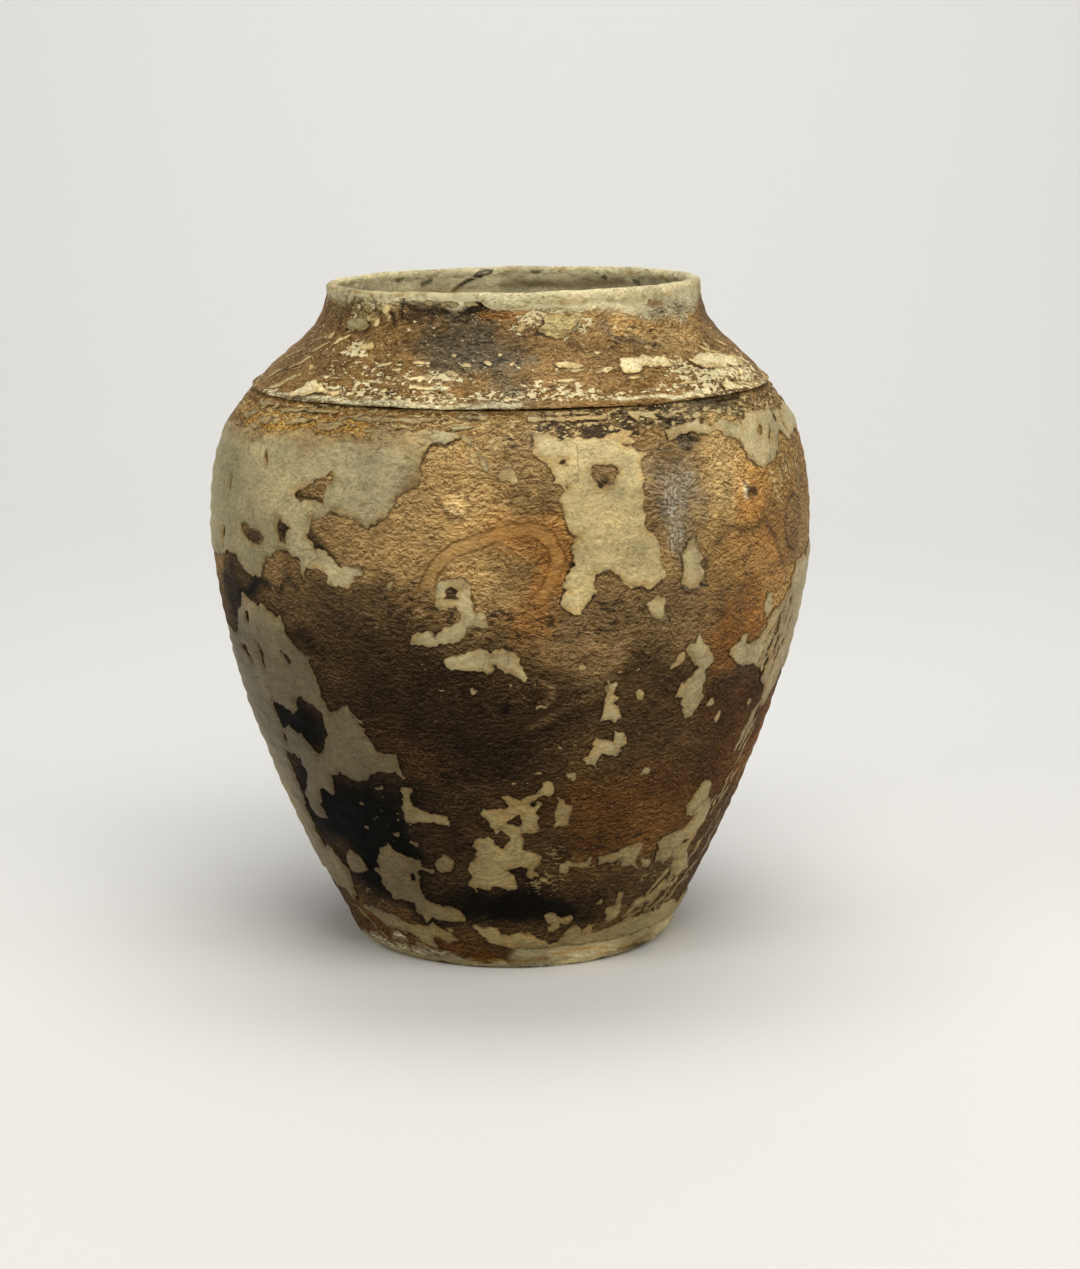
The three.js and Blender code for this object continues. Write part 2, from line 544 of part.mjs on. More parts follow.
      [29, 10.9], [31.4, 12.1], [31.7, 14], [32, 14.7], [33.4, 14.2], [34, 12.4], [34.6, 10.6],
      [33.7, 9], [31.6, 8.2], [30, 9],
    ],
  },
  slip_foot_right_band: {
    edge: [
      [36.2, 10.6], [39.7, 12.2], [43.7, 12.3], [47.5, 14], [49.3, 14.4], [52.5, 13.6], [56, 12.4],
      [49.2, 12.2], [45.7, 11.2], [41.5, 10.8], [38.8, 10.4],
    ],
  },
  slip_foot_bird: {
    edge: [
      [9.7, 11.1], [12.5, 11.4], [14.9, 10.2], [19.5, 10.6], [17, 9.1], [15.3, 9.1], [15, 8.2],
      [12.1, 7.4], [11.2, 7.6], [12.4, 9.4], [10.6, 10.1],
    ],
  },
  slip_foot_band: {
    edge: [
      [-12.6, 9.2], [-9, 8.3], [-6.4, 8.9], [-4.2, 7.9], [-2.4, 7], [0, 7.4], [5, 7.3], [8.6, 6.4],
      [11.5, 5.2], [14.5, 5.4], [17.4, 7.6], [20, 8.3], [22.4, 7.2], [25, 8.6], [26.4, 6.6], [32, 6.7],
      [36, 8.1], [39.4, 9.4], [41, 8.2], [46, 8.6], [52, 8.2], [60, 8.9], [68, 7.4], [75, 8.6],
      [84, 7.2], [92, 8.8], [99, 7.4], [101, 5.2], [94, 4.5], [80, 4.8], [60, 4.4], [40, 4.4], [20, 4.2],
      [6, 4.2], [1, 4.3], [-4, 4.7], [-7.4, 5.6], [-9.4, 6.7], [-12, 7.8],
    ],
  },
  slip_back_upper_panel: {
    edge: [
      [112, 95], [120, 96.6], [131, 95.4], [139, 96.8], [147, 95.6], [149, 92], [144, 89], [146, 85],
      [138, 82.6], [136, 78], [129, 76.4], [127, 80.6], [120, 82], [118, 86.8], [111, 88.4], [114, 91.6],
    ],
    holes: [[[128, 90.4], [133, 91.2], [135, 88.6], [130, 87]]],
  },
  slip_back_crown_band: {
    edge: [
      [162, 96.4], [172, 97], [181, 95.8], [191, 96.8], [202, 95.4], [213, 96.6], [222, 95.6],
      [219, 92.6], [209, 93.4], [205, 90], [196, 88.6], [190, 91.8], [178, 92.4], [170, 94.6],
    ],
  },
  slip_back_saddle: {
    edge: [
      [168, 76], [176, 79.4], [184, 77.8], [190, 81.4], [199, 80], [205, 75.4], [201, 70.6],
      [206, 65.8], [199, 62.4], [192, 65], [188, 70.4], [180, 71.6], [174, 68.2], [166, 70.6],
    ],
  },
  slip_back_leaf: {
    edge: [
      [222, 84.5], [229, 86.8], [236, 84.2], [240, 79.8], [235, 75.2], [228, 76.8], [224, 80.2],
    ],
  },
  slip_back_hook: {
    edge: [
      [118, 66], [125, 69.8], [133, 68.2], [139, 63.6], [137, 57.4], [143, 52.6], [138, 48.2],
      [131, 51.4], [131.6, 57.8], [126, 60.6], [119, 60.2],
    ],
  },
  slip_back_low_panel: {
    edge: [
      [150, 47], [158, 50.6], [167, 48.8], [175, 51.4], [184, 47.4], [189, 41.6], [184, 36.4],
      [190, 31.6], [185, 26.4], [176, 28.8], [171, 24.6], [163, 26.2], [160, 32.4], [153, 33.6],
      [156, 39.4], [149, 41.8],
    ],
    holes: [[[168, 41.4], [174, 42.6], [177, 38.2], [171, 36]]],
  },
  slip_back_left_tongue: {
    edge: [
      [219, 54], [226, 57.6], [234, 56.2], [241, 51.4], [238, 45.8], [242, 40.2], [236, 35.6],
      [228, 38.4], [226, 44.6], [220, 47.8],
    ],
  },
  slip_back_foot_patch: {
    edge: [
      [206, 22.4], [214, 25.6], [224, 23.8], [233, 26.2], [243, 22.4], [247, 16.8], [239, 13.8],
      [230, 15.6], [220, 12.8], [211, 14.8], [204, 18],
    ],
  },
  slip_back_foot_band: {
    edge: [
      [116, 8.4], [126, 9.6], [137, 7.8], [148, 10.4], [160, 8.2], [172, 9.4], [186, 7.6], [196, 8.8],
      [199, 5.6], [186, 4.6], [160, 4.8], [136, 4.4], [118, 5.2],
    ],
  },
};

// Slip patches on the shoulder and neck.
const collarSlip = {
  slip_neck_patch: {
    edge: [[-54, 70.5], [-51, 73], [-45.6, 72], [-44.8, 66], [-46.5, 61.5], [-51, 60.4], [-54.6, 62.5]],
  },
  slip_neck_crumb: {
    edge: [
      [9, 76], [12, 79], [16.5, 78.4], [20, 74.5], [19.4, 71], [17.4, 66], [15.4, 60.6], [12, 58],
      [9.6, 62.5], [6, 65.2], [9.4, 70],
    ],
  },
  slip_shoulder_left: {
    edge: [
      [-50.5, 8.4], [-50, 12.4], [-47.6, 14.6], [-44.6, 12.6], [-40.6, 11.8], [-36, 11], [-39.6, 7.2],
      [-45.4, 6.2], [-49, 6.8],
    ],
  },
  slip_shoulder_dash: {
    edge: [[10.8, 39], [13.6, 39.6], [15.4, 37.6], [20.6, 36.4], [20.8, 34.4], [17.6, 33.6], [12, 35.4]],
  },
  slip_shoulder_scrap: {
    edge: [[20, 31.4], [23.4, 33.2], [26.2, 32.4], [25.6, 30], [22, 27.8], [19.8, 28.6]],
  },
  slip_shoulder_right: {
    edge: [
      [27.6, 39], [30.6, 39.8], [32.2, 38.2], [35.2, 40.4], [38, 38.6], [41.4, 38.2], [42.6, 34],
      [46, 31.4], [42.4, 29.4], [38.8, 29.2], [36.4, 32.4], [33.2, 31.6], [31.6, 27.4], [27.8, 28],
      [26.8, 33],
    ],
  },
  slip_shoulder_far_right: {
    edge: [
      [49, 33.6], [54, 36.4], [60, 36.8], [66, 33.6], [72, 27.4], [77, 21], [70, 20.2], [63, 23.4],
      [56, 25], [50.6, 26.6],
    ],
  },
  slip_ledge_right: {
    edge: [[54.4, 13.4], [57, 14], [60.6, 8.4], [62, 5.6], [57, 5.4], [53.8, 6.6]],
  },
  slip_shoulder_back_long: {
    edge: [
      [118, 30], [127, 35.6], [138, 33], [149, 36.4], [158, 30.8], [152, 24.4], [140, 26.2], [129, 22.8],
      [121, 24],
    ],
  },
  slip_shoulder_back_short: {
    edge: [
      [196, 48], [204, 53], [214, 51], [221, 44], [216, 36], [206, 33.6], [198, 38],
    ],
  },
  slip_shoulder_back_left: {
    edge: [[240, 20], [249, 24.4], [259, 22], [262, 14.6], [252, 10.8], [243, 12.6]],
  },
};

// The rim coat's lower edge, and where it drips lowest on the right of the front.
const rimDrips = [
  [-180, 90], [-166, 86], [-152, 90.4], [-140, 88], [-126, 91.6], [-112, 89], [-98, 92.4], [-84, 92.8],
  [-70, 92], [-56, 92.6], [-44, 91.8], [-36, 92.4], [-28, 94], [-20, 92.8], [-11, 92.2], [-7.6, 90],
  [-5.4, 84.8], [-1, 83.4], [4, 84.2], [8.6, 85], [13, 83.8], [18.6, 84.6], [25, 87], [31, 86],
  [36.4, 84.6], [39.2, 83], [44.4, 83], [45.6, 86], [52, 86.6], [62, 87.6], [74, 89], [88, 88.4],
  [102, 90.6], [116, 87.4], [130, 91], [146, 88.6], [160, 91.4], [172, 88.8], [180, 90],
];

// Cuts the coat below the drips, one quarter turn at a time.
function trimmedRim() {
  const foot = rimCutFoot;
  let ring = rimCoat();
  for (let quarter = 0; quarter < 4; quarter += 1) {
    const start = (quarter - 2) * quarterTurn;
    const end = start + quarterTurn;
    const levelAt = (azimuth) => {
      const i = Math.max(rimDrips.findIndex(([at]) => at >= azimuth), 1);
      const [before, after] = [rimDrips[i - 1], rimDrips[i]];
      const t = (azimuth - before[0]) / (after[0] - before[0]);
      return THREE.MathUtils.lerp(before[1], after[1], t);
    };
    const between = rimDrips.filter(([at]) => at > start && at < end);
    const edge = [[start, levelAt(start)], ...between, [end, levelAt(end)], [end, foot], [start, foot]];
    ring = ring.subtract(patchCutter(edge, [], collarSection));
  }
  return ring;
}

const pot = new THREE.Group();

function addPiece(name, geometry, material) {
  const mesh = new THREE.Mesh(geometry, material);
  mesh.name = name;
  pot.add(mesh);
}

// Each patch is the coat inside its outline, less its holes.
function addSlipPatches(patches, section) {
  const shell = coatOver(section.line);
  for (const [name, { edge, holes = [] }] of Object.entries(patches)) {
    addPiece(name, toGeometry(shell.intersect(patchCutter(edge, holes, section))), slip);
  }
}

addPiece('lower_body', turned(lowerBodyProfile()), clay);
addPiece('shoulder_collar', turned(collarProfile()), collarClay);
addPiece('slip_rim_coat', toGeometry(trimmedRim()), slip);
addSlipPatches(bodySlip, bodySection);
addSlipPatches(collarSlip, collarSection);

export default pot;
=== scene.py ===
"""Finished look of a raku jar: smoke-darkened thrown clay with islands of pale slip.

The clay is turned from the frame's own rings, and each island of slip is laid on the clay
inside the outline of its frame node. Lengths in this file are millimetres unless a name
says otherwise, azimuth 0 faces the viewer (-Y) and grows towards +X.
"""
from __future__ import annotations

import json
import logging
import math
from dataclasses import dataclass, field
from enum import Enum
from typing import Iterable, Sequence, Union

import bpy
import numpy as np
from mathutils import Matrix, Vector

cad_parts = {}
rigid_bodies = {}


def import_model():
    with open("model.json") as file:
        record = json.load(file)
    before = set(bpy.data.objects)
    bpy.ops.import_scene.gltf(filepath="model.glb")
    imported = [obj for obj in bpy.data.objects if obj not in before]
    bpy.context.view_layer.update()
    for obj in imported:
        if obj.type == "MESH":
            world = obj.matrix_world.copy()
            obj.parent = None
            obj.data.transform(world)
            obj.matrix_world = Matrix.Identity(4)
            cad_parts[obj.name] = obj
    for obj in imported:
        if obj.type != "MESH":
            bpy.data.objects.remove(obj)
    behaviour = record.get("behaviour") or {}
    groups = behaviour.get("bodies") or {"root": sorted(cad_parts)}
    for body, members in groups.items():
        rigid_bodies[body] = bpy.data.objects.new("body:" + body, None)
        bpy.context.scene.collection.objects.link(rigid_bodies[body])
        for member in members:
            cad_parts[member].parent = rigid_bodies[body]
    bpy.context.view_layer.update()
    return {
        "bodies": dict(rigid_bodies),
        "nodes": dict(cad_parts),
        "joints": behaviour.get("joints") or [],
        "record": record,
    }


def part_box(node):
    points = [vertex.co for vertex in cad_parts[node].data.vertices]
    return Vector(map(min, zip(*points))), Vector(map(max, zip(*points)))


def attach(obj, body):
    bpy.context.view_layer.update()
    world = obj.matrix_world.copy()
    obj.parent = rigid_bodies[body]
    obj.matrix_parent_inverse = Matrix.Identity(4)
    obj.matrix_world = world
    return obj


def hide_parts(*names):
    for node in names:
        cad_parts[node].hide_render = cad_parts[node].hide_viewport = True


log = logging.getLogger("raku_jar")

MM = 0.001

SEAM_HEIGHT = 232.0
RIM_HEIGHT = 274.0

# Turning of the clay
TURN_SEGMENTS = 400
BODY_RING_STEP = 1.4
INSIDE_RING_STEP = 10.0
COLLAR_RING_STEP = 0.9
CORNER_TURN_DEG = 28.0
LINE_SOFTNESS = 0.7

# Lean of the fired pot
SEAM_TILT_DEG = 0.56
RIM_TILT_DEG = 1.0
COLLAR_SHIFT = 1.0

SAME_RING = 0.12
EDGE_REACH = 4.5
FLAKE_FACE = 0.45
JOINT_RADIUS = 103.5
NECK_LINE_END = 254.0
BODY_TOP_RADIUS = 106.0
BODY_TOP_DROP = 8.2
# Shift up the wall at which the islands' distance is measured, so that the painted contact shadow falls below
# each island.
UNDER_EDGE = 0.35
FULL_TURN_DEG = 340.0
SMOOTH_UNDER_DEG = 38.0
NO_ISLAND = 9.0
NEAR_ISLAND = 5.0
CALM_SHARE = 0.75
MERGE_METRES = 1e-6
TINY = 1e-9

Place = tuple[float, float]
Input = Union[bpy.types.NodeSocket, float, Sequence[float]]


class Pigment(Enum):
    """Colours of the fired surface and of its painted light and shade, as sRGB values out of 255."""

    TAN = (160, 127, 76)
    AMBER = (180, 143, 82)
    HONEY = (206, 172, 112)
    ORANGE = (206, 138, 62)
    RUST = (148, 94, 34)
    UMBER = (88, 65, 36)
    DARK_UMBER = (56, 40, 20)
    REDDISH = (96, 62, 26)
    SOOT = (36, 25, 12)
    GREEN_BLACK = (6, 7, 4)
    # Painted highlight: the grey of the burnished clay's sheen.
    GREY_HIGHLIGHT = (150, 133, 100)
    GREY_BROWN = (136, 108, 68)
    CREAM = (184, 168, 124)
    YELLOW_CREAM = (206, 184, 128)
    GREEN_CREAM = (160, 150, 108)
    GREY_GREEN = (118, 112, 80)
    OCHRE = (168, 126, 54)
    PALE = (206, 194, 150)
    STRAW = (166, 146, 94)
    BROWN_SLIP = (140, 112, 66)
    SMUDGE = (96, 84, 60)
    # Painted shade: slip on the left flank, darkened where the light falls off.
    FLANK_SHADE = (92, 82, 52)
    WARM_CREAM = (216, 190, 132)
    EARTH = (130, 99, 55)
    RIM_CREAM = (208, 196, 152)
    BRIGHT_CREAM = (234, 218, 168)
    LEMON = (216, 196, 132)

    def linear(self) -> np.ndarray:
        """Returns the colour in linear light, 0 to 1."""
        c = np.array(self.value, float) / 255.0
        return np.where(c <= 0.04045, c / 12.92, ((c + 0.055) / 1.055) ** 2.4)


def smoothstep(low: float, high: float, value: np.ndarray) -> np.ndarray:
    """Returns 0 below low, 1 above high and an S-curve between them."""
    t = np.clip((value - low) / (high - low), 0.0, 1.0)
    return t * t * (3.0 - 2.0 * t)


def turn_between(a: np.ndarray, b: float) -> np.ndarray:
    """Returns the signed turn in degrees from azimuth b to each azimuth a."""
    return (a - b + 180.0) % 360.0 - 180.0


class Noise:
    """Smooth noise in space, for arrays of points in millimetres."""

    CELLS = 40

    def __init__(self, seed: int) -> None:
        """Draws the noise's table from its own seed."""
        self.table = np.random.default_rng(seed).random((self.CELLS,) * 3) * 2.0 - 1.0

    def at(self, points: np.ndarray, scale: float, octaves: int = 1) -> np.ndarray:
        """Samples the noise.

        Args:
            points: n by 3 array of positions.
            scale: size of the largest lumps.
            octaves: number of layers, each half the size and strength of the one before.

        Returns:
            n values of about -1 to 1.
        """
        total = np.zeros(len(points))
        for layer in range(octaves):
            total += self._layer(points / (scale / 2**layer) + 7.3 * layer) / 2**layer
        return total

    def _layer(self, q: np.ndarray) -> np.ndarray:
        """Samples one layer.

        Args:
            q: n by 3 positions in cells of the table.

        Returns:
            n values.
        """
        i = np.floor(q).astype(int)
        f = q - i
        f = f * f * (3.0 - 2.0 * f)
        out = np.zeros(len(q))
        for corner in range(8):
            bits = np.array([corner & 1, corner >> 1 & 1, corner >> 2 & 1])
            weight = np.prod(np.where(bits, f, 1.0 - f), axis=1)
            j = (i + bits) % self.CELLS
            out += weight * self.table[j[:, 0], j[:, 1], j[:, 2]]
        return out * 1.6


SHAPE_NOISE = Noise(11)
EDGE_NOISE = Noise(23)
PAINT_NOISE = Noise(37)


def node_arrays(node: bpy.types.Object) -> tuple[np.ndarray, np.ndarray]:
    """Reads the mesh of a frame node.

    Args:
        node: the frame node.

    Returns:
        Its merged vertices in millimetres and its triangles.
    """
    mesh = node.data
    co = np.empty(len(mesh.vertices) * 3)
    mesh.vertices.foreach_get("co", co)
    keys, first = np.unique(np.round(co.reshape(-1, 3) / MM, 3), axis=0, return_inverse=True)
    mesh.calc_loop_triangles()
    tri = np.empty(len(mesh.loop_triangles) * 3, np.int32)
    mesh.loop_triangles.foreach_get("vertices", tri)
    tri = first.reshape(-1)[tri].reshape(-1, 3)
    keep = (tri[:, 0] != tri[:, 1]) & (tri[:, 1] != tri[:, 2]) & (tri[:, 0] != tri[:, 2])
    return keys, tri[keep]


def node_rings(node: bpy.types.Object, side: int) -> np.ndarray:
    """Reads the rings of a turned node.

    Args:
        node: the turned frame node.
        side: 1 for the faces that look away from the axis, -1 for those that look to it.

    Returns:
        Rows of radius and height, from low to high.
    """
    co, tri = node_arrays(node)
    a, b, c = co[tri[:, 0]], co[tri[:, 1]], co[tri[:, 2]]
    normal = np.cross(b - a, c - a)
    normal /= np.linalg.norm(normal, axis=1)[:, None] + 1e-12
    middle = (a + b + c) / 3.0
    away = middle[:, :2] / (np.linalg.norm(middle[:, :2], axis=1)[:, None] + 1e-12)
    chosen = side * np.sum(normal[:, :2] * away, axis=1) > 0.2
    used = co[np.unique(tri[chosen])]
    rings = np.stack([np.hypot(used[:, 0], used[:, 1]), used[:, 2]], axis=1)
    rings = np.unique(np.round(rings, 2), axis=0)
    rings = rings[np.argsort(rings[:, 1], kind="stable")]
    kept = [rings[0]]
    for ring in rings[1:]:
        if np.linalg.norm(ring - kept[-1]) > SAME_RING:
            kept.append(ring)
    return np.array(kept)


class Wall:
    """The outer line of a turned piece, run along by arc length."""

    SAMPLES = 24

    def __init__(self, points: np.ndarray) -> None:
        """Builds the line.

        Args:
            points: rows of radius and height in order along the line.
        """
        points = np.asarray(points, float)
        step = np.linalg.norm(np.diff(points, axis=0), axis=1)
        knots = np.concatenate([[0.0], np.cumsum(step)])
        t = np.concatenate(
            [np.linspace(knots[i], knots[i + 1], self.SAMPLES, endpoint=False)
             for i in range(len(step))] + [[knots[-1]]]
        )
        self.facet = np.stack([np.interp(t, knots, points[:, k]) for k in (0, 1)], axis=1)
        line = self._curve(points, knots, t)
        line = self._soften(line, t)
        self.r, self.z = line[:, 0], line[:, 1]
        self.run = np.concatenate([[0.0], np.cumsum(np.linalg.norm(np.diff(line, axis=0), axis=1))])
        tangent = np.gradient(line, self.run + np.arange(len(t)) * TINY, axis=0)
        tangent /= np.linalg.norm(tangent, axis=1)[:, None]
        self.nr, self.nz = tangent[:, 1], -tangent[:, 0]
        ft = np.gradient(self.facet, t, axis=0)
        ft /= np.linalg.norm(ft, axis=1)[:, None]
        self.facet_normal = np.stack([ft[:, 1], -ft[:, 0]], axis=1)

    @staticmethod
    def _curve(points: np.ndarray, knots: np.ndarray, t: np.ndarray) -> np.ndarray:
        """Runs a curve through points and keeps their sharp corners.

        Args:
            points: rows of radius and height.
            knots: length along the chain at each point.
            t: lengths at which the curve is wanted.

        Returns:
            Rows of radius and height.
        """
        slope = np.diff(points, axis=0) / np.diff(knots)[:, None]
        heading = np.unwrap(np.arctan2(slope[:, 1], slope[:, 0]))
        h = np.diff(knots)
        left = np.vstack([slope[:1], slope])
        right = np.vstack([slope, slope[-1:]])
        mixed = left.copy()
        for i in range(1, len(points) - 1):
            if abs(heading[i] - heading[i - 1]) < math.radians(CORNER_TURN_DEG):
                mixed[i] = (slope[i - 1] * h[i] + slope[i] * h[i - 1]) / (h[i] + h[i - 1])
                left[i] = right[i] = mixed[i]
        seg = np.clip(np.searchsorted(knots, t, side="right") - 1, 0, len(h) - 1)
        u = ((t - knots[seg]) / h[seg])[:, None]
        hs = h[seg][:, None]
        p0, p1 = points[seg], points[seg + 1]
        m0, m1 = right[seg] * hs, left[seg + 1] * hs
        return (
            (2 * u**3 - 3 * u**2 + 1) * p0 + (u**3 - 2 * u**2 + u) * m0
            + (-2 * u**3 + 3 * u**2) * p1 + (u**3 - u**2) * m1
        )

    @staticmethod
    def _soften(line: np.ndarray, t: np.ndarray) -> np.ndarray:
        """Rounds the line's corners as worn clay is.

        Args:
            line: rows of radius and height.
            t: length along the chain at each row.

        Returns:
            The softened rows.
        """
        out = line.copy()
        for i in range(1, len(t) - 1):
            reach = min(3.0 * LINE_SOFTNESS, t[i] - t[0], t[-1] - t[i])
            near = np.abs(t - t[i]) <= reach + TINY
            even = np.gradient(t)[near] if near.sum() > 1 else np.ones(1)
            w = np.exp(-0.5 * ((t[near] - t[i]) / LINE_SOFTNESS) ** 2) * even
            out[i] = (line[near] * w[:, None]).sum(axis=0) / w.sum()
        return out

    def length(self) -> float:
        """Returns the arc length of the whole line."""
        return float(self.run[-1])

    def radius(self, run: np.ndarray) -> np.ndarray:
        """Returns the radius at each arc length."""
        return np.interp(run, self.run, self.r)

    def height(self, run: np.ndarray) -> np.ndarray:
        """Returns the height at each arc length."""
        return np.interp(run, self.run, self.z)

    def run_at(self, height: np.ndarray | float, inside: bool = False) -> np.ndarray:
        """Finds heights on the line.

        Args:
            height: the heights.
            inside: whether they are met past the top, on the way down.

        Returns:
            The arc length at each.
        """
        top = int(np.argmax(self.z))
        if inside:
            return np.interp(-np.asarray(height, float), -self.z[top:], self.run[top:])
        return np.interp(height, self.z[: top + 1], self.run[: top + 1])

    def foot_of(self, r: np.ndarray, z: np.ndarray) -> tuple[np.ndarray, np.ndarray]:
        """Drops points onto the faceted line.

        Args:
            r: radii of the points.
            z: heights of the points.

        Returns:
            The arc length under each point and its height above the facets.
        """
        d = (r[:, None] - self.facet[None, :, 0]) ** 2 + (z[:, None] - self.facet[None, :, 1]) ** 2
        k = np.argmin(d, axis=1)
        off = (r - self.facet[k, 0]) * self.facet_normal[k, 0]
        off += (z - self.facet[k, 1]) * self.facet_normal[k, 1]
        return self.run[k], off

    def surface(self, azimuth: np.ndarray, run: np.ndarray, lift: np.ndarray | float = 0.0) -> np.ndarray:
        """Returns points on the wall.

        Args:
            azimuth: degrees.
            run: arc lengths.
            lift: height above the line along its normal.

        Returns:
            n by 3 positions in millimetres.
        """
        r = self.radius(run) + np.interp(run, self.run, self.nr) * lift
        z = self.height(run) + np.interp(run, self.run, self.nz) * lift
        a = np.radians(azimuth)
        return np.stack([r * np.sin(a), -r * np.cos(a), z], axis=1)


def throwing_relief(points: np.ndarray) -> np.ndarray:
    """Measures the relief of the thrown and scraped wall.

    Args:
        points: n by 3 positions on the even wall.

    Returns:
        Its height above that wall.
    """
    z = points[:, 2]
    wander = SHAPE_NOISE.at(points, 55.0)
    rings = 0.13 * np.sin(2.0 * math.pi * (z + 2.2 * wander) / 7.0)
    broad = 0.30 * SHAPE_NOISE.at(points + 90.0, 34.0, 2)
    flat = points * np.array([1.0, 1.0, 2.0])
    scraped = 0.15 * SHAPE_NOISE.at(flat + 31.0, 6.5, 2)
    return rings + broad + scraped


def seam_carving(z: np.ndarray) -> np.ndarray:
    """Measures the two tooled grooves and the undercut below the ledge.

    Args:
        z: heights on the even wall.

    Returns:
        The height above that wall, negative in a groove.
    """
    upper = 0.75 * np.exp(-(((z - (SEAM_HEIGHT - 3.6)) / 0.75) ** 2))
    lower = 0.65 * np.exp(-(((z - (SEAM_HEIGHT - 6.6)) / 0.75) ** 2))
    under = 1.1 * smoothstep(SEAM_HEIGHT - 1.9, SEAM_HEIGHT - 1.2, z)
    return -(upper + lower + under)


def lean(points: np.ndarray) -> np.ndarray:
    """Moves points of the upright pot to where the fired pot has them.

    Args:
        points: n by 3 positions.

    Returns:
        The moved positions.
    """
    z = points[:, 2]
    low = np.clip(z / SEAM_HEIGHT, 0.0, 1.0)
    high = np.clip((z - SEAM_HEIGHT) / (RIM_HEIGHT - SEAM_HEIGHT), 0.0, 1.0)
    tilt = np.radians(SEAM_TILT_DEG * low**1.5 + (RIM_TILT_DEG - SEAM_TILT_DEG) * high)
    out = points.copy()
    out[:, 2] += points[:, 0] * np.tan(tilt)
    out[:, 0] += COLLAR_SHIFT * high
    return out


@dataclass
class Zone:
    """A soft patch of colour.

    Attributes:
        azimuth: centre, degrees.
        height: centre, percent of the piece.
        half_turn: half width, degrees.
        half_height: half height, percent of the piece.
        pigment: the colour.
        strength: 0 to 1.
        tilt: turn of the patch, degrees.
        blur: soft border as a share of the size.
    """

    azimuth: float
    height: float
    half_turn: float
    half_height: float
    pigment: Pigment | None = None
    strength: float = 0.8
    tilt: float = 0.0
    blur: float = 0.6


@dataclass
class Stroke:
    """A soft line of colour.

    Attributes:
        path: azimuth and height percent of each point.
        width: full width, millimetres.
        blur: soft border, millimetres.
        pigment: the colour.
        strength: 0 to 1.
    """

    path: Sequence[Place]
    width: float
    blur: float
    pigment: Pigment
    strength: float = 0.8


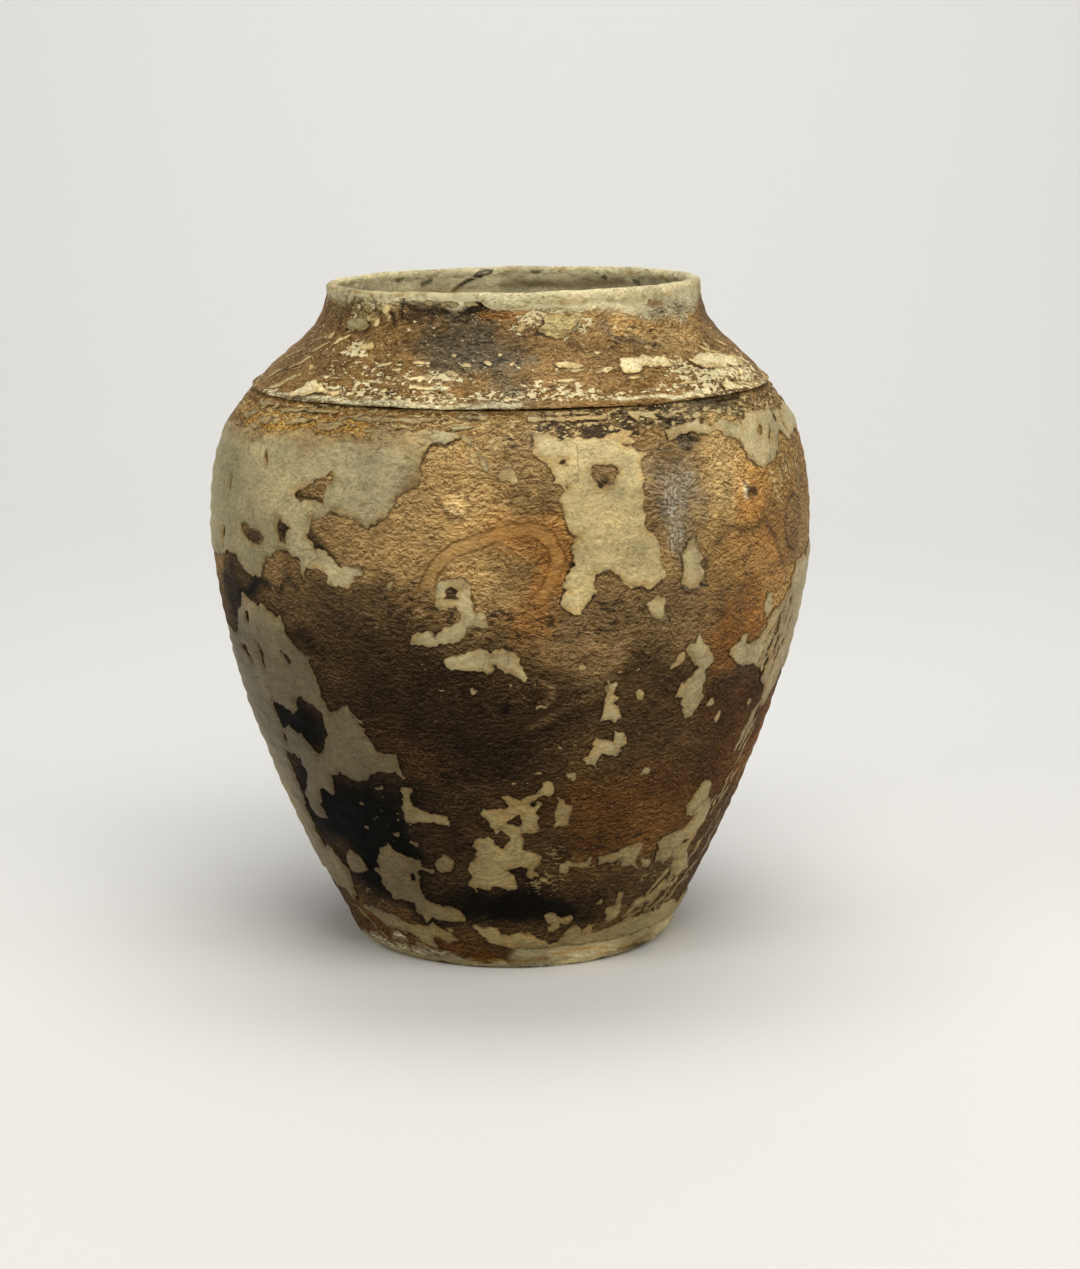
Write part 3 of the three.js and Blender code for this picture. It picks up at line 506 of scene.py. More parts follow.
@dataclass
class Field:
    """Turns percent heights of a piece into places on its wall.

    Attributes:
        wall: the wall's line.
        low: height of 0 percent.
        high: height of 100 percent.
    """

    wall: Wall
    low: float
    high: float

    def run(self, percent: np.ndarray | float) -> np.ndarray:
        """Finds percent heights on the wall.

        Args:
            percent: the heights, which past 100 run down the inside.

        Returns:
            The arc length at each.
        """
        percent = np.asarray(percent, float)
        reach = self.high - self.low
        outside = self.wall.run_at(self.low + reach * percent / 100.0)
        within = self.wall.run_at(self.high - reach * (percent - 100.0) / 100.0, inside=True)
        return np.where(percent > 100.0, within, outside)

    def paint(
        self,
        azimuth: np.ndarray,
        run: np.ndarray,
        points: np.ndarray,
        marks: Iterable[Zone | Stroke],
        colour: np.ndarray,
        warp: float = 7.0,
    ) -> np.ndarray:
        """Lays soft marks over colours.

        Args:
            azimuth: degrees of each point.
            run: arc length of each point.
            points: positions of the points.
            marks: what is laid, in order.
            colour: n by 3 linear colours to lay over.
            warp: how far the borders wander.

        Returns:
            The new colours.
        """
        out = colour.copy()
        r = self.wall.radius(run)
        du = warp * PAINT_NOISE.at(points, 16.0, 4)
        dv = warp * 0.8 * PAINT_NOISE.at(points + 60.0, 16.0, 4)
        for mark in marks:
            if isinstance(mark, Zone):
                mask = self._zone(mark, azimuth, run, r, du, dv)
            else:
                mask = self._stroke(mark, azimuth, run, r, du * 0.3, dv * 0.3)
            mask = (mask * mark.strength)[:, None]
            out = out * (1.0 - mask) + mark.pigment.linear()[None, :] * mask
        return out

    def cover(
        self,
        azimuth: np.ndarray,
        run: np.ndarray,
        points: np.ndarray,
        marks: Iterable[Zone | Stroke],
        warp: float = 5.0,
    ) -> np.ndarray:
        """Measures how strongly any of the marks covers each point.

        Args:
            azimuth: degrees of each point.
            run: arc length of each point.
            points: positions of the points.
            marks: the marks.
            warp: how far the borders wander.

        Returns:
            n values from 0 to 1.
        """
        r = self.wall.radius(run)
        du = warp * PAINT_NOISE.at(points + 25.0, 16.0, 3)
        dv = warp * 0.8 * PAINT_NOISE.at(points + 85.0, 16.0, 3)
        out = np.zeros(len(azimuth))
        for mark in marks:
            way = self._zone if isinstance(mark, Zone) else self._stroke
            out = np.maximum(out, way(mark, azimuth, run, r, du, dv) * mark.strength)
        return out

    def _zone(
        self, mark: Zone, azimuth: np.ndarray, run: np.ndarray, r: np.ndarray, du: np.ndarray,
        dv: np.ndarray,
    ) -> np.ndarray:
        """Measures a zone's cover.

        Args:
            mark: the zone.
            azimuth: degrees of each point.
            run: arc length of each point.
            r: radius at each point.
            du: wander round the wall.
            dv: wander along it.

        Returns:
            n values from 0 to 1.
        """
        centre = float(self.run(mark.height))
        rc = float(self.wall.radius(np.array([centre]))[0])
        half_u = math.radians(mark.half_turn) * rc
        top, bottom = mark.height + mark.half_height, mark.height - mark.half_height
        half_v = float(self.run(top) - self.run(bottom)) / 2
        u = np.radians(turn_between(azimuth, mark.azimuth)) * rc + du
        v = run - centre + dv
        c, s = math.cos(math.radians(mark.tilt)), math.sin(math.radians(mark.tilt))
        p, q = u * c + v * s, -u * s + v * c
        d = np.sqrt((p / half_u) ** 2 + (q / max(half_v, 0.5)) ** 2)
        return 1.0 - smoothstep(1.0 - mark.blur, 1.0 + mark.blur, d)

    def _stroke(
        self, mark: Stroke, azimuth: np.ndarray, run: np.ndarray, r: np.ndarray, du: np.ndarray,
        dv: np.ndarray,
    ) -> np.ndarray:
        """Measures a stroke's cover.

        Args:
            mark: the stroke.
            azimuth: degrees of each point.
            run: arc length of each point.
            r: radius at each point.
            du: wander round the wall.
            dv: wander along it.

        Returns:
            n values from 0 to 1.
        """
        path = np.array([(p[0], float(self.run(p[1]))) for p in mark.path])
        seg = np.stack([path[:-1], path[1:]], axis=1) if len(path) > 1 else np.array([[path[0], path[0]]])
        d = segment_distance(azimuth + np.degrees(du / r), run + dv, r, seg, mark.width / 2 + mark.blur + 1.0)
        return 1.0 - smoothstep(mark.width / 2 - mark.blur / 2, mark.width / 2 + mark.blur, d)


def segment_distance(
    azimuth: np.ndarray, run: np.ndarray, r: np.ndarray, seg: np.ndarray, reach: float = 1e3
) -> np.ndarray:
    """Returns each point's distance along the wall to the nearest segment.

    Args:
        azimuth: degrees of each point.
        run: arc length of each point.
        r: radius of the wall at each point.
        seg: m by 2 by 2 array of segment ends as azimuth and arc length.
        reach: distance past which a point needs no exact value.

    Returns:
        n distances in millimetres, at most the reach.
    """
    best = np.full(len(azimuth), reach * reach)
    k = np.radians(1.0) * r
    for (a0, s0), (a1, s1) in seg:
        near = np.flatnonzero((run > min(s0, s1) - reach) & (run < max(s0, s1) + reach))
        if not len(near):
            continue
        ea = turn_between(a1, a0)
        ex, ey = ea * k[near], s1 - s0
        px, py = turn_between(azimuth[near], a0) * k[near], run[near] - s0
        t = np.clip((px * ex + py * ey) / (ex * ex + ey * ey + TINY), 0.0, 1.0)
        best[near] = np.minimum(best[near], (px - t * ex) ** 2 + (py - t * ey) ** 2)
    return np.sqrt(best)


def inside_outline(azimuth: np.ndarray, run: np.ndarray, seg: np.ndarray) -> np.ndarray:
    """Finds the points inside an outline, which may go all the way round.

    Args:
        azimuth: degrees of each point.
        run: arc length of each point.
        seg: closed outline as segments of azimuth and arc length.

    Returns:
        n truth values.
    """
    odd = np.zeros(len(azimuth), bool)
    for (a0, s0), (a1, s1) in seg:
        ea = turn_between(a1, a0)
        if ea == 0.0:
            continue
        da = turn_between(azimuth, a0)
        crosses = (da < 0.0) != (da < ea)
        odd ^= crosses & (s0 + da / ea * (s1 - s0) < run)
    return odd


@dataclass
class Island:
    """An island of slip with a broken edge.

    Attributes:
        name: name of the frame node, or of the piece.
        wall: the wall it lies on.
        seg: closed outline as segments of azimuth and arc length.
        rough: how far the broken edge wanders.
        cell: size of the surface cells.
        high: height of the middle above the clay.
        low: height of the broken edge above the clay.
        thick: thickness of the piece.
        soft: 1 for slip that thins out to nothing at its edge, 0 for slip that broke off.
        halo: whether a dark halo lies on the clay along its edge, partly smoke-blackened clay and partly a
            painted contact shadow.
    """

    name: str
    wall: Wall
    seg: np.ndarray
    rough: float = 1.0
    cell: float = 0.56
    high: float = 0.85
    low: float = 0.4
    thick: float = 0.8
    soft: float = 0.0
    halo: bool = True
    cuts: list[tuple[np.ndarray, float]] = field(default_factory=list)
    centre: float = field(init=False)

    def __post_init__(self) -> None:
        """Works out the azimuth of the middle."""
        self.centre = float((self.seg[:, :, 0].min() + self.seg[:, :, 0].max()) / 2)

    def slit(self, place: Field, path: Sequence[Place], width: float) -> None:
        """Cuts a slit along a path of azimuth and height percent."""
        self.cuts.append((np.array([(a, float(place.run(h))) for a, h in path]), width))

    @classmethod
    def from_node(cls, node: bpy.types.Object, wall: Wall, **settings: float | bool) -> Island:
        """Reads an island's outline from its frame node.

        Args:
            node: the thin solid in the frame.
            wall: the wall that it lies on.
            settings: the island's other values.

        Returns:
            The island.
        """
        co, tri = node_arrays(node)
        run, off = wall.foot_of(np.hypot(co[:, 0], co[:, 1]), co[:, 2])
        outer = off > FLAKE_FACE
        front = tri[outer[tri].all(axis=1)]
        edges = np.sort(np.concatenate([front[:, [0, 1]], front[:, [1, 2]], front[:, [2, 0]]]), axis=1)
        unique, count = np.unique(edges, axis=0, return_counts=True)
        rim = unique[count == 1]
        middle = co[front].mean(axis=(0, 1)) if len(front) else co.mean(axis=0)
        base = math.degrees(math.atan2(middle[0], -middle[1]))
        az = base + turn_between(np.degrees(np.arctan2(co[:, 0], -co[:, 1])), base)
        seg = np.stack([az[rim], run[rim]], axis=2)
        return cls(node.name, wall, seg, **settings)

    @classmethod
    def from_shape(cls, name: str, place: Field, shape: Sequence[Place], **settings: float | bool) -> Island:
        """Makes an island from a drawn outline.

        Args:
            name: its name.
            place: the field of the wall it lies on.
            shape: azimuth and height percent of each corner.
            settings: the island's other values.

        Returns:
            The island.
        """
        path = np.array([(a, float(place.run(h))) for a, h in shape])
        seg = np.stack([path, np.roll(path, -1, axis=0)], axis=1)
        return cls(name, place.wall, seg, **settings)

    def span(self) -> tuple[float, float, float, float]:
        """Returns the lowest and highest azimuth and arc length of the outline."""
        a, s = self.seg[:, :, 0], self.seg[:, :, 1]
        return float(a.min()), float(a.max()), float(s.min()), float(s.max())

    def inset(self, azimuth: np.ndarray, run: np.ndarray, points: np.ndarray) -> np.ndarray:
        """Measures how far inside the broken edge points lie.

        Args:
            azimuth: degrees of each point.
            run: arc length of each point.
            points: positions of the points.

        Returns:
            n distances, negative outside it.
        """
        r = self.wall.radius(run)
        d = segment_distance(azimuth, run, r, self.seg, EDGE_REACH)
        d = np.where(inside_outline(azimuth, run, self.seg), d, -d)
        for path, width in self.cuts:
            seg = np.stack([path[:-1], path[1:]], axis=1)
            d = np.minimum(d, segment_distance(azimuth, run, r, seg, EDGE_REACH) - width / 2)
        chips = 0.50 * EDGE_NOISE.at(points, 4.2) + 0.34 * EDGE_NOISE.at(points + 50.0, 1.6, 2)
        chips += 0.26 - 0.75 * np.abs(EDGE_NOISE.at(points + 80.0, 3.2))
        return d + self.rough * chips + 0.15

    def build(self) -> bpy.types.Object:
        """Makes the island's mesh, laid on the relief of the clay.

        Returns:
            The flake.
        """
        a0, a1, s0, s1 = self.span()
        margin = 1.6
        rc = float(np.mean(self.wall.radius(np.linspace(s0, s1, 9))))
        pad = math.degrees(margin / rc)
        s0, s1 = max(s0 - margin, 0.0), min(s1 + margin, self.wall.length())
        ring = a1 - a0 > FULL_TURN_DEG
        a0, a1 = (-180.0, 180.0) if ring else (a0 - pad, a1 + pad)
        cols = max(4, int(math.radians(a1 - a0) * rc / self.cell))
        rows = max(4, int((s1 - s0) / self.cell))
        deselect()
        bpy.ops.mesh.primitive_grid_add(x_subdivisions=cols, y_subdivisions=rows, size=2.0)
        piece = bpy.context.object
        piece.name = piece.data.name = self.name + "_flake"
        co = mesh_points(piece, 1.0)
        azimuth = a0 + (co[:, 0] + 1.0) / 2.0 * (a1 - a0)
        run = s0 + (co[:, 1] + 1.0) / 2.0 * (s1 - s0)
        flat = self.wall.surface(azimuth, run)
        inset = self.inset(azimuth, run, flat)
        swell = self.low + (self.high - self.low) * smoothstep(0.0, 2.2, inset)
        swell = swell + 0.09 * SHAPE_NOISE.at(flat + 13.0, 6.0, 3)
        lift = throwing_relief(flat) + swell
        set_points(piece, self.wall.surface(azimuth, run, lift))
        set_float(piece, "edge", inset)
        set_float(piece, "turn", azimuth)
        set_float(piece, "run", run)
        set_float(piece, "soft", np.full(len(run), self.soft))
        if ring:
            bpy.ops.object.mode_set(mode="EDIT")
            bpy.ops.mesh.select_all(action="SELECT")
            bpy.ops.mesh.remove_doubles(threshold=MERGE_METRES)
            bpy.ops.object.mode_set(mode="OBJECT")
        self._cut(piece)
        return piece

    def _cut(self, piece: bpy.types.Object) -> None:
        """Breaks the flake off at its edge and gives it its thickness.

        Args:
            piece: the flake, which holds "edge".
        """
        inset = get_float(piece, "edge")
        group = piece.vertex_groups.new(name="kept")
        weight = np.clip(0.5 + inset / 2.4, 0.0, 1.0)
        for i, w in enumerate(weight):
            if w > 0.0:
                group.add([i], float(w), "REPLACE")
        mask = piece.modifiers.new("broken_edge", "MASK")
        mask.vertex_group = "kept"
        mask.threshold = 0.5
        mask.use_smooth = True
        solid = piece.modifiers.new("thickness", "SOLIDIFY")
        solid.thickness = self.thick * MM
        solid.offset = -1.0
        for modifier in ("broken_edge", "thickness"):
            apply_modifier(piece, modifier)
        piece.vertex_groups.clear()


def deselect() -> None:
    """Leaves edit mode and deselects everything."""
    if bpy.context.object and bpy.context.object.mode != "OBJECT":
        bpy.ops.object.mode_set(mode="OBJECT")
    bpy.ops.object.select_all(action="DESELECT")


def choose(piece: bpy.types.Object) -> None:
    """Makes one object the only selected and active one.

    Args:
        piece: the object.
    """
    deselect()
    piece.select_set(True)
    bpy.context.view_layer.objects.active = piece


def apply_modifier(piece: bpy.types.Object, name: str) -> None:
    """Applies one modifier of a piece."""
    choose(piece)
    bpy.ops.object.modifier_apply(modifier=name)


def mesh_points(piece: bpy.types.Object, unit: float = MM) -> np.ndarray:
    """Reads the piece's vertices.

    Args:
        piece: the mesh object.
        unit: metres in one unit of the result.

    Returns:
        n by 3 positions.
    """
    co = np.empty(len(piece.data.vertices) * 3)
    piece.data.vertices.foreach_get("co", co)
    return co.reshape(-1, 3) / unit


def set_points(piece: bpy.types.Object, points: np.ndarray) -> None:
    """Puts the piece's vertices at points in millimetres."""
    piece.data.vertices.foreach_set("co", (points * MM).reshape(-1))
    piece.data.update()


def set_float(piece: bpy.types.Object, name: str, values: np.ndarray) -> None:
    """Writes a value per vertex."""
    layer = piece.data.attributes.get(name) or piece.data.attributes.new(name, "FLOAT", "POINT")
    layer.data.foreach_set("value", np.asarray(values, np.float32))


def get_float(piece: bpy.types.Object, name: str) -> np.ndarray:
    """Reads a value per vertex.

    Args:
        piece: the mesh object.
        name: the attribute's name.

    Returns:
        n values.
    """
    out = np.empty(len(piece.data.vertices), np.float32)
    piece.data.attributes[name].data.foreach_get("value", out)
    return out.astype(float)


def set_colour(piece: bpy.types.Object, name: str, colours: np.ndarray) -> None:
    """Writes a linear colour per vertex.

    Args:
        piece: the mesh object.
        name: the attribute's name.
        colours: n by 3 linear colours.
    """
    layer = piece.data.attributes.get(name) or piece.data.attributes.new(name, "FLOAT_COLOR", "POINT")
    rgba = np.ones((len(colours), 4), np.float32)
    rgba[:, :3] = colours
    layer.data.foreach_set("color", rgba.reshape(-1))


def turn_piece(name: str, chain: np.ndarray, marks: np.ndarray) -> bpy.types.Object:
    """Turns a closed chain round the axis.

    Args:
        name: the piece's name.
        chain: rows of radius and height in millimetres.
        marks: a value per row that its ring keeps as "run".

    Returns:
        The turned piece.
    """
    verts = [(r * MM, 0.0, z * MM) for r, z in chain]
    on_axis = chain[0, 0] == 0.0
    edges = [(i, i + 1) for i in range(len(verts) - 1)]
    if not on_axis:
        edges.append((len(verts) - 1, 0))
    mesh = bpy.data.meshes.new(name)
    mesh.from_pydata(verts, edges, [])
    piece = bpy.data.objects.new(name, mesh)
    bpy.context.scene.collection.objects.link(piece)
    set_float(piece, "run", marks)
    choose(piece)
    bpy.ops.object.mode_set(mode="EDIT")
    bpy.ops.mesh.select_all(action="SELECT")
    bpy.ops.mesh.spin(
        steps=TURN_SEGMENTS, angle=2.0 * math.pi, center=(0, 0, 0), axis=(0, 0, 1), use_auto_merge=True
    )
    bpy.ops.mesh.select_all(action="SELECT")
    bpy.ops.mesh.remove_doubles(threshold=MERGE_METRES)
    bpy.ops.mesh.normals_make_consistent(inside=False)
    bpy.ops.object.mode_set(mode="OBJECT")
    return piece


def resample(points: np.ndarray, step: float) -> np.ndarray:
    """Adds points along a chain and keeps its corners.

    Args:
        points: rows of radius and height.
        step: longest distance between two points.

    Returns:
        The longer list of rows.
    """
    out = [points[0]]
    for a, b in zip(points[:-1], points[1:]):
        count = max(1, int(math.ceil(np.linalg.norm(b - a) / step)))
        for k in range(1, count + 1):
            out.append(a + (b - a) * k / count)
    return np.array(out)


class Shader:
    """A node tree that is written line by line."""

    def __init__(self, tree: bpy.types.NodeTree) -> None:
        """Keeps the tree that is written to."""
        self.tree = tree

    def node(self, kind: str, settings: dict[str, object] | None = None, **inputs: Input) -> bpy.types.Node:
        """Adds a node.

        Args:
            kind: the node's type.
            settings: its properties.
            inputs: values or sockets for its inputs, by name with _ for a space, or by
                i0, i1 and so on for its input number.

        Returns:
            The node.
        """
        made = self.tree.nodes.new("ShaderNode" + kind)
        for key, value in (settings or {}).items():
            setattr(made, key, value)
        for key, value in inputs.items():
            if key[0] == "i" and key[1:].isdigit():
                socket = made.inputs[int(key[1:])]
            else:
                socket = made.inputs[key.replace("_", " ")]
            self.feed(socket, value)
        return made

    def feed(self, socket: bpy.types.NodeSocket, value: Input) -> None:
        """Links a socket to another, or sets its value.

        Args:
            socket: the input socket.
            value: an output socket, a number or a colour.
        """
        if isinstance(value, bpy.types.NodeSocket):
            self.tree.links.new(value, socket)
        elif isinstance(value, (tuple, list)) and len(value) == 3 and socket.type == "RGBA":
            socket.default_value = (*value, 1.0)
        else:
            socket.default_value = value

    def where(self) -> bpy.types.NodeSocket:
        """Returns the place on the object, in metres."""
        return self.node("TexCoord").outputs["Object"]

    def math(self, operation: str, a: Input, b: Input = 0.0) -> bpy.types.NodeSocket:
        """Returns the result of one operation on two values."""
        return self.node("Math", {"operation": operation}, i0=a, i1=b).outputs[0]

    def times(self, a: Input, b: Input) -> bpy.types.NodeSocket:
        """Returns the product of two values."""
        return self.math("MULTIPLY", a, b)

    def vector(self, operation: str, a: Input, b: Input) -> bpy.types.NodeSocket:
        """Returns the result of one operation on two vectors."""
        return self.node("VectorMath", {"operation": operation}, i0=a, i1=b).outputs[0]

    def tinted(self, colour: Input, by: Input) -> bpy.types.NodeSocket:
        """Returns a colour multiplied by another."""
        return self.mix(1.0, colour, by, "MULTIPLY")

    def ramp(
        self, value: Input, low: float, high: float, to_low: float = 0.0, to_high: float = 1.0
    ) -> bpy.types.NodeSocket:
        """Moves a value smoothly from one range to another.

        Args:
            value: the value.
            low: start of its range.
            high: end of its range.
            to_low: start of the new range.
            to_high: end of the new range.

        Returns:
            The moved value.
        """
        made = self.node("MapRange", {"interpolation_type": "SMOOTHSTEP"}, Value=value)
        for key, number in (("From Min", low), ("From Max", high), ("To Min", to_low), ("To Max", to_high)):
            made.inputs[key].default_value = number
        return made.outputs["Result"]

    def mix(self, factor: Input, a: Input, b: Input, blend: str = "MIX") -> bpy.types.NodeSocket:
        """Mixes two colours.

        Args:
            factor: share of the second one.
            a: the first colour.
            b: the second colour.
            blend: how they are mixed.

        Returns:
            The mixed colour.
        """
        made = self.node("Mix", {"data_type": "RGBA", "blend_type": blend})
        self.feed(made.inputs[0], factor)
        self.feed(made.inputs[6], a)
        self.feed(made.inputs[7], b)
        return made.outputs[2]

    def noise(
        self, vector: Input, scale: float, detail: float = 2.0, rough: float = 0.5, twist: float = 0.0
    ) -> bpy.types.NodeSocket:
        """Makes a noise value.

        Args:
            vector: the place.
            scale: lumps in a metre.
            detail: number of finer layers.
            rough: strength of the finer layers.
            twist: how far it bends itself.

        Returns:
            A value of about 0 to 1.
        """
        return self.node(
            "TexNoise", Vector=vector, Scale=scale, Detail=detail, Roughness=rough, Distortion=twist,
        ).outputs["Fac"]

    def attribute(self, name: str, output: str = "Fac") -> bpy.types.NodeSocket:
        """Returns a value or colour that the mesh holds."""
        made = self.node("Attribute", {"attribute_name": name})
        return made.outputs[output]


def new_group(name: str, takes: dict[str, str], gives: dict[str, str]) -> tuple[Shader, dict, bpy.types.Node]:
    """Starts a shader node group.

    Args:
        name: the group's name.
        takes: kind of each input by name.
        gives: kind of each output by name.

    Returns:
        Its shader, its inputs by name and its output node.
    """
    tree = bpy.data.node_groups.new(name, "ShaderNodeTree")
    for label, kind in takes.items():
        tree.interface.new_socket(label, in_out="INPUT", socket_type=kind)
    for label, kind in gives.items():
        tree.interface.new_socket(label, in_out="OUTPUT", socket_type=kind)
    shader = Shader(tree)
    source = tree.nodes.new("NodeGroupInput")
    sink = tree.nodes.new("NodeGroupOutput")
    return shader, {label: source.outputs[label] for label in takes}, sink


VALUE = "NodeSocketFloat"


def scale_group() -> bpy.types.NodeTree:
    """Makes the short overlapping scales of scraped clay, with a painted highlight on their upper edges and
    painted shade on their lower edges and in their creases.

    Returns:
        The group.
    """
    sh, _, sink = new_group("ScrapedScales", {}, {"Light": VALUE, "Painted_Shade": VALUE, "Height": VALUE})
    where = sh.where()
    wave = sh.node("TexNoise", Vector=where, Scale=70.0, Detail=2.0).outputs["Color"]
    wave = sh.vector("SUBTRACT", wave, (0.5, 0.5, 0.5))
    wave = sh.node("VectorMath", {"operation": "SCALE"}, i0=wave, Scale=0.007).outputs[0]
    bent = sh.vector("ADD", where, wave)
    flat = sh.vector("MULTIPLY", bent, (1.0, 1.0, 1.45))
    above = sh.vector("ADD", flat, (0.0, 0.0, 0.0006))
    coarse = sh.noise(flat, 420.0, 3.0, 0.68, 0.2)
    # slope: how far the scale drops towards the point above it. Where it drops, the scale faces up and gets a
    # painted highlight; where it climbs, it gets painted shade.
    slope = sh.math("SUBTRACT", coarse, sh.noise(above, 420.0, 3.0, 0.68, 0.2))
    sh.feed(sink.inputs["Light"], sh.ramp(slope, 0.030, 0.095))
    # Painted shade in the creases between the scales.
    crease = sh.math("ABSOLUTE", sh.math("SUBTRACT", sh.noise(flat, 250.0, 4.0, 0.62, 0.5), 0.5))
    broken = sh.ramp(sh.noise(where, 160.0, 2.0), 0.42, 0.55)
    crease = sh.times(sh.ramp(crease, 0.032, 0.006), broken)
    sh.feed(sink.inputs["Painted_Shade"], sh.math("MAXIMUM", sh.ramp(slope, -0.025, -0.095), crease))
    broad = sh.noise(bent, 95.0, 1.0)
    height = sh.math("ADD", coarse, sh.times(broad, 1.2))
    sh.feed(sink.inputs["Height"], sh.math("SUBTRACT", height, sh.times(crease, 0.3)))
    return sh.tree


def fleck_group() -> bpy.types.NodeTree:
    """Makes crisp flat flecks whose share of the surface follows an amount.

    Returns:
        The group.
    """
    takes = {"Amount": VALUE, "Seed": VALUE, "Scale": VALUE}
    sh, taken, sink = new_group("Flecks", takes, {"Mask": VALUE})
    where = sh.where()
    flat = sh.vector("MULTIPLY", where, (1.0, 1.0, 2.2))
    shape = sh.node(
        "TexNoise", {"noise_dimensions": "4D"}, Vector=flat, W=taken["Seed"], Scale=taken["Scale"],
        Detail=4.0, Roughness=0.66, Distortion=0.3,
    ).outputs["Fac"]
    level = sh.math("ADD", sh.times(taken["Amount"], 0.46), sh.math("SUBTRACT", shape, 0.78))
    some = sh.ramp(taken["Amount"], 0.0, 0.06)
    sh.feed(sink.inputs["Mask"], sh.times(sh.ramp(level, 0.0, 0.03), some))
    return sh.tree


def speckle_group() -> bpy.types.NodeTree:
    """Makes fine scattered specks.

    Returns:
        The group.
    """
    sh, taken, sink = new_group("Speckle", {"Scale": VALUE, "Share": VALUE}, {"Mask": VALUE})
    where = sh.where()
    dots = sh.node("TexNoise", Vector=where, Scale=taken["Scale"], Detail=3.0, Roughness=0.65)
    made = sh.node("MapRange", Value=dots.outputs["Fac"])
    sh.feed(made.inputs["From Min"], sh.math("SUBTRACT", 0.72, taken["Share"]))
    sh.feed(made.inputs["From Max"], sh.math("SUBTRACT", 0.80, taken["Share"]))
    sh.feed(sink.inputs["Mask"], made.outputs["Result"])
    return sh.tree


def mottle_group() -> bpy.types.NodeTree:
    """Makes broad and fine unevenness of tone around 1.

    Returns:
        The group.
    """
    sh, taken, sink = new_group("Mottle", {"Amount": VALUE}, {"Tone": VALUE})
    where = sh.where()
    broad = sh.math("SUBTRACT", sh.noise(where, 42.0, 4.0, 0.62), 0.5)
    fine = sh.math("SUBTRACT", sh.noise(where, 520.0, 3.0, 0.7), 0.5)
    both = sh.math("ADD", broad, sh.times(fine, 0.9))
    sh.feed(sink.inputs["Tone"], sh.math("ADD", 1.0, sh.times(both, taken["Amount"])))
    return sh.tree


def crackle_group() -> bpy.types.NodeTree:
    """Makes fine broken crack lines.

    Returns:
        The group.
    """
    sh, taken, sink = new_group("Crackle", {"Scale": VALUE}, {"Line": VALUE})
    where = sh.where()
    wave = sh.node("TexNoise", Vector=where, Scale=190.0, Detail=3.0).outputs["Color"]
    wave = sh.node("VectorMath", {"operation": "SCALE"}, i0=wave, Scale=0.006).outputs[0]
    bent = sh.vector("ADD", where, wave)
    cells = sh.node(
        "TexVoronoi", {"feature": "DISTANCE_TO_EDGE"}, Vector=bent, Scale=taken["Scale"]
    ).outputs["Distance"]
    some = sh.ramp(sh.noise(where, 55.0, 2.0), 0.50, 0.60)
    sh.feed(sink.inputs["Line"], sh.times(sh.ramp(cells, 0.035, 0.008), some))
    return sh.tree


